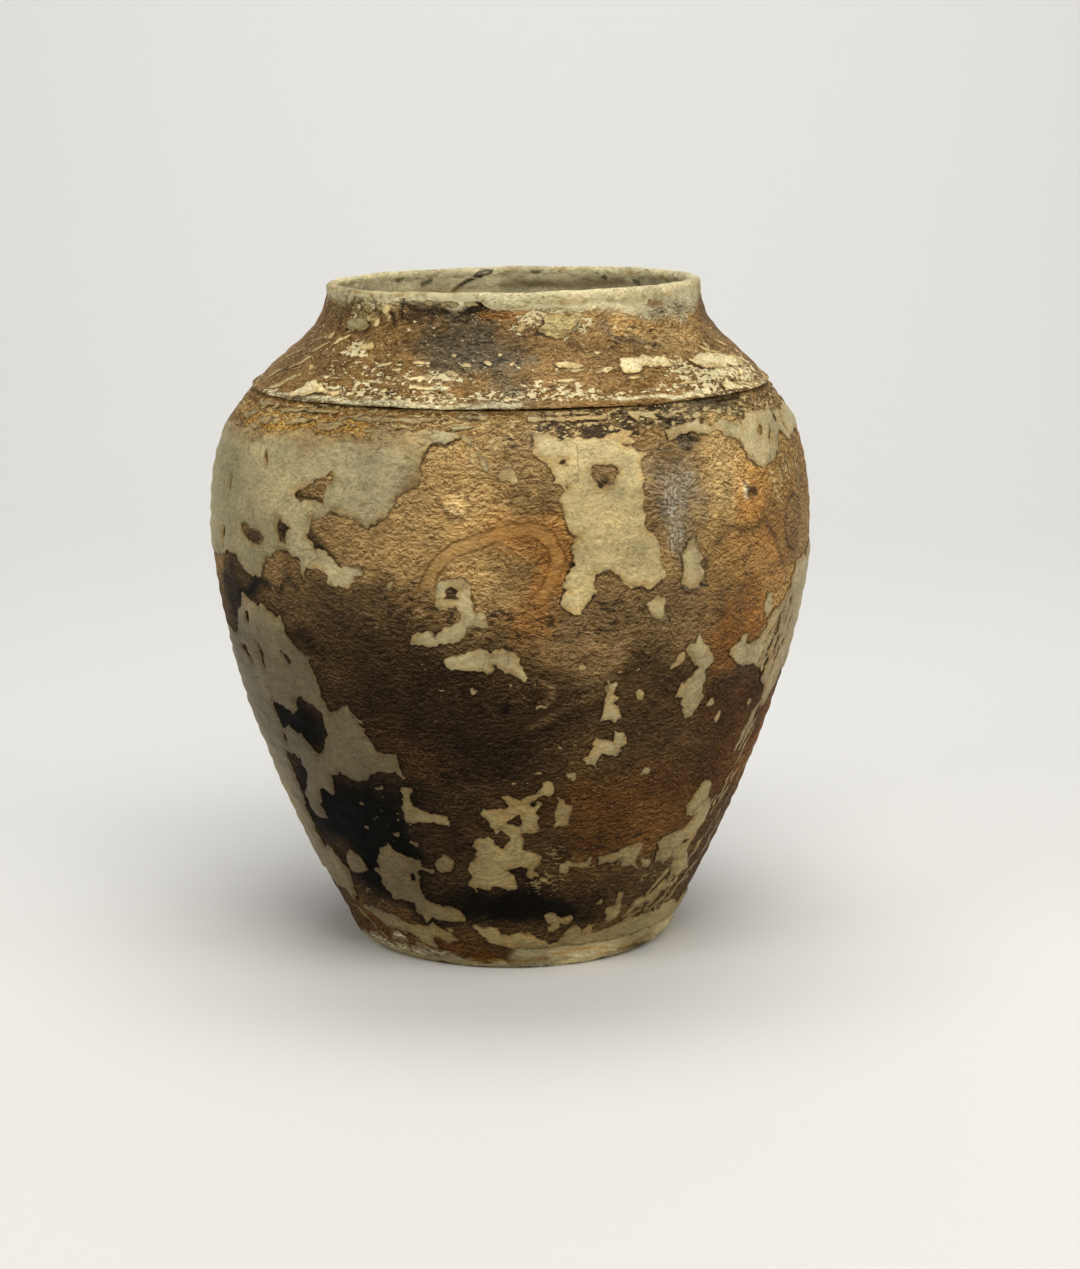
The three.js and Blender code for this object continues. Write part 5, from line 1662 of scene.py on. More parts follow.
SHOULDER_FINE: list[Zone | Stroke] = [
    Stroke([(-34, 87.5), (-25, 88), (-7, 87)], 1.4, 0.9, P.SOOT, 0.85),
    Stroke([(-31, 78), (-27, 77.5), (-26.5, 73), (-30, 72.5), (-31.5, 75)], 2.0, 1.2, P.DARK_UMBER, 0.85),
    Stroke([(-33, 93), (-33.4, 84), (-33, 73)], 1.5, 0.9, P.SOOT, 0.9),
    Stroke([(-37.4, 79), (-36, 74), (-34.6, 67)], 1.6, 0.9, P.SOOT, 0.9),
    Stroke([(-52, 88), (-50, 80), (-47, 77)], 1.3, 0.9, P.UMBER, 0.8),
    Stroke([(-45, 88), (-43.6, 80), (-41, 76)], 1.3, 0.9, P.UMBER, 0.85),
    Stroke([(-30, 84), (-26, 82), (-23, 84), (-19, 81.5), (-16, 83.4)], 1.8, 1.0, P.SOOT, 0.85),
    Stroke([(-13.6, 83), (-9.6, 84.6), (-6.8, 86.6)], 2.2, 1.2, P.SOOT, 0.9),
    Stroke([(-24.4, 80), (-22, 80)], 1.4, 0.8, P.SOOT, 0.9),
    Stroke([(-21, 80), (-18, 80)], 1.4, 0.8, P.SOOT, 0.9),
    Stroke([(-14.5, 80), (-10.6, 80)], 1.4, 0.8, P.SOOT, 0.9),
    Zone(-8.4, 87.5, 2.0, 5.0, P.SOOT, 0.92, 0.0, 0.3),
    Zone(-15.5, 86, 2.8, 4.6, P.PALE, 0.85, 0.0, 0.35),
    Zone(-16.3, 75, 2.2, 4.4, P.SMUDGE, 0.9, 0.0, 0.35),
    Stroke([(-60, 92), (-58.5, 78), (-57, 74), (-55.5, 80), (-55, 92)], 1.1, 0.9, P.UMBER, 0.65),
    Stroke([(-8, 77), (0, 78), (9, 78.5)], 2.0, 1.6, P.RUST, 0.6),
    Stroke([(44, 84), (50, 82)], 2.0, 1.5, P.RUST, 0.7),
    Stroke([(-30, 12.4), (-27, 12.4)], 1.0, 0.8, P.SOOT, 0.7),
    Stroke([(-18, 15), (-16, 18.6), (-14, 17)], 1.2, 0.8, P.PALE, 0.8),
    Stroke([(-24, 8.6), (-10, 8), (6, 8.4)], 1.0, 0.8, P.UMBER, 0.7),
    Stroke([(-150, 113), (-147, 117)], 1.6, 0.9, P.SOOT, 0.8),
    Stroke([(-147, 108), (-144, 109)], 1.6, 0.9, P.UMBER, 0.7),
    Stroke([(149, 109), (147, 113)], 1.6, 0.8, P.SOOT, 0.8),
    Stroke([(135, 116), (133, 118)], 1.6, 0.9, P.SOOT, 0.7),
    Stroke([(-159, 125), (-161, 120), (-163.4, 116), (-166, 113)], 1.6, 0.8, P.SOOT, 1.0),
    Stroke([(-176, 122), (180, 119), (160, 121), (140, 117)], 2.4, 1.8, P.GREY_BROWN, 0.6),
    Zone(-150, 125, 16, 6, P.GREY_BROWN, 0.5),
]

SPECK_MARKS: list[Zone | Stroke] = [
    Zone(-67, 34, 16, 34, P.STRAW, 0.85),
    Zone(-40, 50, 14, 12, P.YELLOW_CREAM, 0.6),
    Zone(68, 30, 12, 30, P.YELLOW_CREAM, 0.6),
    Zone(-22, 84, 14, 9, P.GREEN_CREAM, 0.9),
]

NECK_CRACK: list[Zone | Stroke] = [
    Stroke([(-159, 125), (-161, 120), (-163.4, 116), (-166, 113), (-169, 110)], 1.2, 0.6, P.SOOT, 1.0),
    Stroke([(-169, 110), (-171.6, 108.6), (-172.4, 106.2), (-169.8, 105.6), (-167.2, 108), (-165.4, 112)],
           0.8, 0.5, P.SOOT, 0.9),
]

RIM_MARKS: list[Zone | Stroke] = [
    # Straw tone on the left of the rim coat: partly its own colour, partly painted shade.
    Zone(-52, 96, 26, 16, P.STRAW, 0.7),
    Zone(-38, 98, 22, 8, P.STRAW, 0.55),
    # Painted light: the right of the rim coat is made brighter.
    Zone(52, 94, 24, 9, P.BRIGHT_CREAM, 0.7),
    Stroke([(8, 90), (30, 88), (55, 87), (80, 88)], 2.2, 2.4, P.OCHRE, 0.22),
    Stroke([(-60, 101), (-30, 101), (10, 101), (60, 101)], 1.6, 1.4, P.BRIGHT_CREAM, 0.5),
    *NECK_CRACK,
    Stroke([(-148, 110), (-145, 112.6)], 1.3, 0.8, P.SOOT, 0.85),
    Stroke([(-141, 107), (-139, 110), (-136, 111)], 1.0, 0.7, P.UMBER, 0.8),
    Stroke([(174, 107), (170, 108), (167, 107)], 1.0, 0.7, P.SOOT, 0.8),
    Stroke([(150, 108), (147, 110.6)], 1.1, 0.7, P.SOOT, 0.8),
    Zone(-150, 113, 8, 4, P.OCHRE, 0.35),
    Zone(32, 92, 2.4, 4, P.BRIGHT_CREAM, 0.8, 0.0, 0.4),
    Stroke([(-30, 93), (-20, 92.4), (-12, 93)], 1.0, 0.8, P.SMUDGE, 0.7),
    Zone(-20, 91, 10, 5, P.GREY_GREEN, 0.35),
]

NECK_BAND: list[Zone | Stroke] = [
    Stroke([(0, 93), (30, 91), (50, 90), (85, 90)], 7.5, 3.0, P.RIM_CREAM, 1.0),
    Stroke([(-85, 96), (-40, 97), (0, 96)], 4.0, 2.5, P.RIM_CREAM, 1.0),
    Stroke([(85, 92), (135, 92), (180, 92)], 6.0, 3.0, P.RIM_CREAM, 1.0),
    Stroke([(180, 92), (225, 94), (275, 95)], 5.0, 3.0, P.RIM_CREAM, 1.0),
    Stroke([(42, 88), (42, 75)], 3.4, 2.0, P.RIM_CREAM, 0.9),
    Stroke([(55, 88), (55.6, 82)], 2.6, 2.0, P.RIM_CREAM, 0.7),
    Stroke([(63, 88), (64, 81)], 3.0, 2.0, P.RIM_CREAM, 0.7),
    Stroke([(30, 90), (30.6, 86)], 3.0, 2.0, P.RIM_CREAM, 0.7),
    Stroke([(14, 92), (14.6, 88)], 3.0, 2.0, P.RIM_CREAM, 0.7),
]

SHOULDER_CRUMBS: list[Zone | Stroke] = [
    Zone(0, 50, 180, 60, None, 0.36),
    Zone(-28, 26, 34, 20, None, 0.48),
    Zone(-43, 47, 8, 6, None, 0.75),
    Zone(12, 68, 11, 13, None, 0.70),
    Zone(42, 80, 7, 9, None, 0.7),
    Zone(-50, 80, 12, 10, None, 0.55),
    Zone(0, 5, 180, 8, None, 0.62),
    Zone(60, 20, 22, 13, None, 0.75),
    Zone(-14, 27, 7, 5, None, 0.85),
    Zone(10, 12, 18, 8, None, 0.55),
]

SHOULDER_SCORCH: list[Zone | Stroke] = [
    Zone(0, 50, 180, 60, None, 0.36),
    Zone(-18, 84, 16, 10, None, 0.58),
    Zone(-9, 45, 14, 34, None, 0.50),
    Zone(35, 49, 13, 7, None, 0.56),
    Zone(0, 8, 180, 3, None, 0.5),
]


@dataclass
class Coat:
    """What is laid on one clay piece.

    Attributes:
        base: colour under everything.
        marks: broad colours.
        crumbs: where pale crumbs of slip cling.
        scorch: where dark flecks lie.
        sheen: where the clay is burnished, which gives it a coat; where this is strong, painted glints are
            laid in its colour too.
        fine: small sharp marks, laid last.
        sheet: where thin slip covers the clay.
    """

    base: Pigment
    marks: list[Zone | Stroke]
    crumbs: list[Zone | Stroke]
    scorch: list[Zone | Stroke]
    sheen: list[Zone | Stroke]
    fine: list[Zone | Stroke]
    sheet: list[Zone | Stroke]


SHOULDER_SHEEN: list[Zone | Stroke] = [Zone(0, 50, 180, 70, None, 0.35)]

BODY_COAT = Coat(P.UMBER, BODY_MARKS, BODY_CRUMBS, BODY_SCORCH, BODY_SHEEN, BODY_FINE, FOOT_SHEET)
SHOULDER_COAT = Coat(
    P.EARTH, SHOULDER_MARKS, SHOULDER_CRUMBS, SHOULDER_SCORCH, SHOULDER_SHEEN, SHOULDER_FINE, NECK_BAND
)

SLITS: dict[str, list[tuple[list[Place], float]]] = {
    "slip_left_panel": [
        ([(-64.5, 86.5), (-64.6, 84)], 1.1), ([(-68, 77), (-68.3, 73.5)], 1.1),
        ([(-52.5, 91.2), (-51.5, 90.2)], 0.8),
    ],
    "slip_left_flank": [
        ([(-57, 58.5), (-56.4, 56.5), (-56, 54)], 0.9), ([(-57, 42), (-56, 39)], 1.0),
        ([(-32.5, 48), (-31.6, 47.3), (-30.5, 46.3)], 1.2), ([(-48.7, 58), (-47.2, 56.4)], 1.6),
    ],
    "slip_right_panel": [
        ([(56.2, 61.5), (59, 63.5)], 1.1), ([(58, 58), (60.5, 60.5)], 1.2),
        ([(60, 55.4), (61.6, 58.2)], 1.2),
        ([(62, 60), (63.6, 63)], 1.2), ([(60.4, 52.2), (61.8, 54.6)], 1.0),
        ([(63.2, 54.8), (64.6, 57.8)], 1.3),
        ([(65, 51.6), (66.4, 55.4)], 1.2), ([(66, 60), (67.5, 64)], 1.2), ([(69, 56), (70, 60)], 1.1),
        ([(57, 54.4), (58.6, 56.4)], 0.9),
    ],
    "slip_back_upper_panel": [
        ([(117, 92.4), (122, 91), (126, 92.4)], 1.4), ([(138, 90), (142, 92.6)], 1.3),
        ([(123, 84.6), (128, 83)], 1.3),
        ([(140, 86), (138, 83)], 1.6),
    ],
    "slip_back_crown_band": [([(176, 95.4), (182, 94), (188, 94.6)], 1.2), ([(206, 94.4), (212, 95)], 1.2)],
    "slip_back_saddle": [
        ([(175, 74), (180, 76.6), (185, 75)], 1.4), ([(195, 71), (199, 67.6)], 1.4),
        ([(190, 78), (193, 75)], 1.6),
    ],
    "slip_back_hook": [([(124, 66), (129, 64.6)], 1.3), ([(135, 53), (133, 57)], 1.3)],
    "slip_back_low_panel": [
        ([(155, 44.6), (160, 41.6), (164, 42.6)], 1.5), ([(178, 33), (183, 36)], 1.3),
        ([(165, 30), (168, 33), (166, 36)], 1.5),
        ([(178, 45), (183, 42)], 1.4),
    ],
    "slip_back_left_tongue": [([(228, 51), (232, 47.6), (231, 43)], 1.5)],
    "slip_back_foot_patch": [([(214, 20), (221, 18.4)], 1.5), ([(234, 20), (238, 18)], 1.3)],
    "slip_upper_right_band": [
        ([(41.0, 96.6), (42.0, 98.6)], 0.9), ([(43.6, 96.4), (44.6, 98.8)], 1.0),
        ([(46.2, 96.7), (47.2, 99.2)], 0.9),
        ([(48.7, 97.0), (49.8, 99.4)], 1.1), ([(51.2, 96.9), (52.2, 99.4)], 0.9),
        ([(53.6, 97.2), (54.8, 99.6)], 1.1),
        ([(56.2, 97.3), (57.6, 99.8)], 1.0), ([(59.4, 97.4), (60.8, 99.8)], 1.2),
        ([(63.2, 97.0), (64.6, 99.6)], 1.1),
        ([(57, 93.4), (58.4, 94.6)], 0.9), ([(60, 92.4), (61.2, 93.6)], 0.9),
        ([(52.0, 94.8), (52.6, 96)], 0.8),
        ([(66, 94.6), (66.8, 97.6)], 1.1), ([(69.4, 92.8), (70.4, 95.2)], 1.0),
    ],
}

BODY_SPECKS: list[list[Place]] = [
    [(-9, 96.3), (-7.6, 96.2), (-6.3, 95), (-5.2, 93.4), (-4, 92.5), (-3.7, 91), (-4.3, 90.9), (-5, 92.2),
     (-5.8, 93.4), (-7, 94.8), (-8.5, 95.6)],
    [(24.5, 99), (27, 99), (29.5, 98.7), (30.5, 98), (30, 97.5), (28.5, 97.8), (27, 98.3), (26.3, 97.5),
        (25.3, 98.2)],
    [(4, 98.9), (12, 98.8), (20, 98.8), (20, 98.3), (12, 98.1), (4, 98.3)],
    [(6, 99.5), (14, 99.5), (19, 99.3), (14, 99.1), (6, 99.1)],
    [(14, 22.6), (16, 21.9), (19.4, 21.7), (20, 22.9), (20.5, 22.8), (20, 21.0), (17, 21.1), (14.2, 21.8)],
    [(12.6, 21.9), (14.4, 21.8), (15.2, 20.6), (14.2, 20), (12.8, 20.2)],
    [(-20, 8.3), (-18, 8.2), (-16.5, 7.4), (-17.6, 7), (-19.4, 7.4)],
    [(-52, 5.2), (-48, 4.2), (-43.4, 2.2), (-44.4, 2), (-49, 3.4), (-52.4, 4.8)],
    [(-39, 3.6), (-37, 3), (-36, 1.6), (-37, 1.5), (-38.6, 2.8)],
    [(36, 20.8), (38, 20.6), (39.8, 19.4), (39, 18.5), (37.4, 19.2), (36.2, 20)],
    [(58, 28), (59.6, 30), (61, 33), (62.2, 35), (61.4, 31.6), (60, 29), (58.8, 27.6)],
    [(13.6, 59.3), (14.4, 58.8), (14, 58), (13, 57.9), (12, 58.4), (12.6, 58.6)],
    [(-26, 98.4), (-22, 98.7), (-17, 98.4), (-17.5, 97.8), (-22, 98.0), (-26, 97.9)],
    [(-10, 99.2), (-7, 99.3), (-4, 99.1), (-4.4, 98.7), (-7, 98.8), (-10, 98.7)],
    [(36, 9.0), (38.4, 11.2), (41, 12.6), (43, 12.8), (41.6, 11.4), (38.6, 9.4), (37, 8.2)],
    [(42, 12.6), (45, 15.0), (48.6, 17.6), (50.4, 18.6), (48.8, 16.4), (45.2, 13.6), (43, 12.0)],
    [(46, 10.6), (49, 12.8), (53, 16.2), (55.6, 18.8), (54.2, 15.8), (50, 12.2), (47, 10.2)],
    [(50, 8.8), (54, 12.4), (58, 16.6), (59.6, 18.6), (58.4, 15.2), (54.6, 11.2), (51, 8.4)],
    [(58, 38), (60, 42), (62, 45), (66, 48), (64.5, 44), (61.5, 40), (59, 37.6)],
    [(54, 58), (56.6, 60.6), (60, 63.6), (58.6, 60.8), (55.4, 57.6)],
    [(-57, 72.5), (-55.6, 73.6), (-54.6, 72.8), (-55.4, 71.6)],
    [(104, 70), (107, 71.2), (108.4, 68.8), (106, 67.2)],
    [(150, 60), (153, 62.4), (157, 60.8), (155, 58), (151, 57.8)],
    [(210, 66), (213, 68.4), (217, 65), (212, 62.4)],
    [(146, 24), (150, 25.8), (153, 23.2), (149, 21.2), (146.6, 22)],
    [(196, 38), (199, 40.4), (203, 37), (200, 34.4)],
    [(246, 62), (251, 65.4), (257, 63), (255, 59), (248, 58.6)],
    [(262, 40), (266, 44.4), (271, 42.6), (269, 37), (263, 35.6)],
    [(249, 88), (257, 91.4), (266, 90), (263, 86), (255, 84.6)],
    [(108, 30), (112, 32.8), (117, 30.4), (113, 27)], [(96, 18), (99, 20.8), (104, 18.6), (101, 15.6)],
    [(127, 16), (133, 18.4), (139, 16), (134, 13.4)], [(160, 15), (164, 17.4), (169, 15.6), (165, 13.2)],
]

LEDGE_SHARDS: list[Place] = [
    (31, 98.9), (34.5, 98.4), (38, 98.9), (41, 98.0), (44.5, 98.7), (47.6, 98.0), (61, 99.0), (64, 98.3),
    (67.6, 98.9),
    (71, 98.1), (-32, 98.8), (-36, 98.0), (-48, 98.7), (-53, 98.1), (-57, 98.8), (-62, 98.2), (-66, 98.9),
]

BODY_DOTS: list[tuple[float, float, float, float]] = [
    (-21, 72.1, 2.4, 4.2), (6, 39.6, 2.6, 2.2), (13.2, 38.9, 2.6, 3.4), (6.4, 51.8, 4.0, 1.6),
    (-6.5, 54.5, 1.8, 2.2),
    (43.5, 49.4, 4.4, 2.2), (46.8, 46.4, 2.2, 3.6), (58, 47, 3.0, 1.8), (30.2, 38.6, 3.4, 4.6),
    (25.6, 53, 2.6, 3.8),
    (-36, 31.5, 2.4, 1.2), (-37, 27, 1.8, 1.2), (-28, 26.5, 2.8, 2.0), (-45, 13.5, 3.4, 3.0),
    (-29.5, 35.5, 3.4, 2.2),
    (-23.7, 25.1, 4.2, 2.0), (8.9, 18.9, 3.2, 2.2), (26.5, 13.2, 2.6, 3.0), (38, 37.4, 2.0, 3.2),
    (2.2, 37.6, 5.6, 0.9),
    (101, 62, 4.0, 3.0), (108, 53, 3.0, 2.4), (146, 66, 3.0, 4.0), (166, 58, 4.0, 2.2), (186, 56, 2.6, 2.6),
    (195, 50, 3.0, 4.0), (212, 42, 2.6, 2.2), (246, 48, 4.4, 3.0), (258, 54, 2.6, 3.4), (142, 40, 3.0, 2.2),
    (132, 30, 2.6, 3.2), (120, 22, 3.4, 2.2), (196, 27, 2.6, 2.6), (250, 36, 3.0, 2.2), (228, 66, 2.4, 3.0),
    (160, 80, 3.0, 2.0), (212, 80, 2.4, 2.4), (150, 80, 2.2, 3.0), (106, 82, 3.0, 2.2), (262, 80, 3.4, 2.6),
    (176, 20, 2.6, 2.0), (140, 21, 2.2, 1.8), (266, 24, 3.0, 3.6), (92, 34, 3.0, 4.0), (94, 26, 2.6, 2.4),
]


SHOULDER_DOTS: list[tuple[float, float, float, float]] = [
    (-33, 14, 3.6, 2.2), (-41.5, 48, 6.5, 3.4), (-50, 67, 11, 5.4), (-38, 75.5, 2.6, 3.0),
    (-42, 69, 2.8, 2.4),
    (-47, 44.5, 3.0, 1.6), (-46.8, 21, 2.6, 1.6), (-36.5, 44.5, 4.0, 1.3), (-34.5, 42.3, 3.4, 1.2),
    (-37.5, 31.5, 1.8, 1.2),
    (-36.5, 26, 1.8, 1.2), (-33, 25, 3.0, 1.2), (-27.5, 30.5, 5.0, 1.7), (-28.2, 14, 4.4, 1.3),
    (-21.5, 42, 1.8, 1.4),
    (-21, 23, 1.8, 1.3), (-14, 28.5, 6.5, 2.1), (-12.5, 24, 2.6, 1.6), (-12.5, 10.5, 6.8, 2.5),
    (-5.5, 13, 2.0, 1.4),
    (-5.5, 28.5, 2.0, 1.4), (-10, 35, 2.0, 1.5), (-5.3, 36.5, 1.8, 1.9), (-14.8, 43.5, 2.4, 1.7),
    (-2.5, 44, 2.0, 1.4),
    (0.5, 36.5, 2.0, 1.7), (0.5, 8, 5.0, 2.0), (-60, 53.5, 2.4, 3.4), (-55.5, 27, 4.4, 3.4),
    (47, 40.5, 3.4, 1.7),
    (63, 40.5, 3.4, 2.2), (3, 66, 3.4, 3.0), (6, 64, 2.6, 1.8), (19, 76, 3.0, 2.0), (9.5, 77, 2.4, 1.6),
    (72, 24, 4.0, 2.0), (76, 14, 5.0, 2.2), (80, 30, 4.0, 2.0), (-70, 20, 5.0, 2.4), (-74, 36, 4.0, 2.4),
    (100, 40, 7.0, 3.0), (118, 22, 6.0, 2.4), (-105, 60, 6.0, 3.4), (-128, 30, 7.0, 3.0),
    (-160, 50, 5.0, 2.4),
    (162, 66, 6.0, 3.0), (140, 48, 3.4, 2.0), (-145, 15, 5.0, 2.0), (-88, 26, 4.0, 2.0),
]

SHOULDER_SPECKS: list[list[Place]] = [
    [(60, 20), (63, 24), (66, 25), (64.6, 22), (62, 18.6)],
    [(65, 14), (68, 18), (72, 20), (70, 16.4), (67, 13)],
    [(24, 10), (28, 12), (33, 12.4), (33.6, 10.8), (28, 10), (25, 8.8)],
    [(40, 14), (43, 15.6), (47, 15), (46, 13.2), (42, 12.8)],
    [(-24, 24), (-20, 26), (-17, 25.4), (-19, 23.4)], [(8, 22), (12, 24), (16, 23), (13, 21.4)],
    [(-31.6, 90), (-28.8, 91), (-27, 88), (-28.4, 85.4), (-31, 86)],
    [(-26, 90), (-23.4, 91), (-22.4, 87.6), (-24.6, 86)],
    [(-21, 89.6), (-17.6, 90.6), (-15, 88), (-17, 85.6), (-20.4, 86.4)],
    [(-13.8, 89.6), (-10.8, 90), (-9.4, 87.6), (-12.4, 86)],
    [(-41, 86), (-38.6, 87), (-37.8, 81), (-39.6, 78), (-41.4, 81)],
]

BODY_STRIPS: list[tuple[float, float, float, float, float]] = [
    (-71, 96.0, -62, 97.2, 2.2), (-66, 98.3, -57, 98.9, 1.6), (-61, 95.9, -52, 96.7, 2.4),
    (-56, 98.0, -47, 98.5, 1.8),
    (-51, 96.2, -43, 97.4, 2.3), (-47, 98.7, -37, 98.9, 1.3), (-42, 96.4, -33, 97.3, 2.3),
    (-37, 95.3, -30, 95.6, 1.8),
    (-33, 98.1, -24, 98.3, 1.7), (-30, 96.4, -21, 97.2, 2.0), (-22, 95.2, -16, 96.6, 1.5),
    (-20, 98.3, -12, 98.6, 1.5),
    (-65, 94.5, -57, 95.1, 2.0), (-12, 97.2, -7, 97.6, 1.4), (-76, 94, -68, 95, 2.0),
    (66, 47, 72, 56, 1.8), (62, 34.5, 68, 43, 1.6), (59, 25, 66, 35, 1.7), (62, 21, 70, 31, 1.5),
    (67, 28, 74, 38, 1.5),
    (57, 17, 64, 23, 1.5), (50, 12.4, 60, 18.6, 1.4), (55, 9, 66, 17, 1.6), (44, 7.4, 54, 11.4, 1.3),
    (61, 11, 70, 19, 1.4),
    (70, 42, 76, 52, 1.6), (46, 14.6, 52, 18.2, 1.2), (54, 24.4, 58, 30, 1.3), (64, 15, 74, 25, 1.5),
    (-58, 8.4, -52, 4.8, 1.6), (-64, 15, -60, 10.6, 1.5), (-47, 7.2, -40, 5.6, 1.2), (-66, 92, -70, 96, 1.4),
    (62, 86.4, 60.4, 90.4, 1.2), (66, 84, 65, 89.4, 1.3), (70, 83, 69.4, 88.6, 1.3),
    (100, 90, 108, 94, 2.2), (150, 73, 158, 76, 2.0), (208, 88, 216, 84.6, 2.2), (236, 67, 243, 71, 2.2),
    (119, 41, 125, 45.6, 2.0), (196, 20, 202, 15.6, 2.0), (98, 12, 110, 9.4, 2.2), (146, 13.6, 156, 11, 1.8),
    (252, 30, 258, 22, 2.4), (264, 70, 270, 61, 2.6), (256, 12, 266, 8, 2.0), (212, 33, 218, 30, 2.0),
    (100, 46, 106, 40, 2.2), (160, 88, 167, 85.4, 2.0), (226, 92, 234, 90, 2.2),
]

SHOULDER_STRIPS: list[tuple[float, float, float, float, float]] = [
    (-51, 57, -58, 44, 1.3), (-58, 50, -66, 34, 1.6), (-61, 35, -68, 21, 1.8), (-66, 52, -72, 42, 1.4),
    (-69, 22, -77, 9, 2.2), (-57, 20, -65, 8, 2.0), (-73, 38, -79, 26, 1.6), (-60, 12, -68, 4, 2.0),
    (57, 45, 66, 31, 1.1), (63, 37, 72, 23, 1.2), (68, 49, 76, 33, 1.2), (59, 27, 70, 15, 1.3),
    (72, 30, 80, 14, 1.3),
    (-36, 21, -29, 20, 1.1), (-26, 37, -20, 36, 0.9), (-22, 17, -15, 16.4, 0.9), (-34, 33, -30, 36, 0.9),
    (14, 30, 21, 31, 0.9), (26, 21, 34, 21.6, 0.9), (20, 43, 27, 44, 0.8),
]

OUTLINES: dict[str, list[Place]] = {
    "slip_shoulder_left": [
        (-53, 8), (-52, 14), (-50, 16.5), (-48, 15.5), (-46, 12.5), (-43, 11), (-40, 10.5), (-37.5, 12.5),
        (-38.5, 9.5),
        (-41, 7), (-44.5, 7.5), (-47, 6), (-49, 3), (-52, 1.5), (-56, 2), (-54, 4),
    ],
}


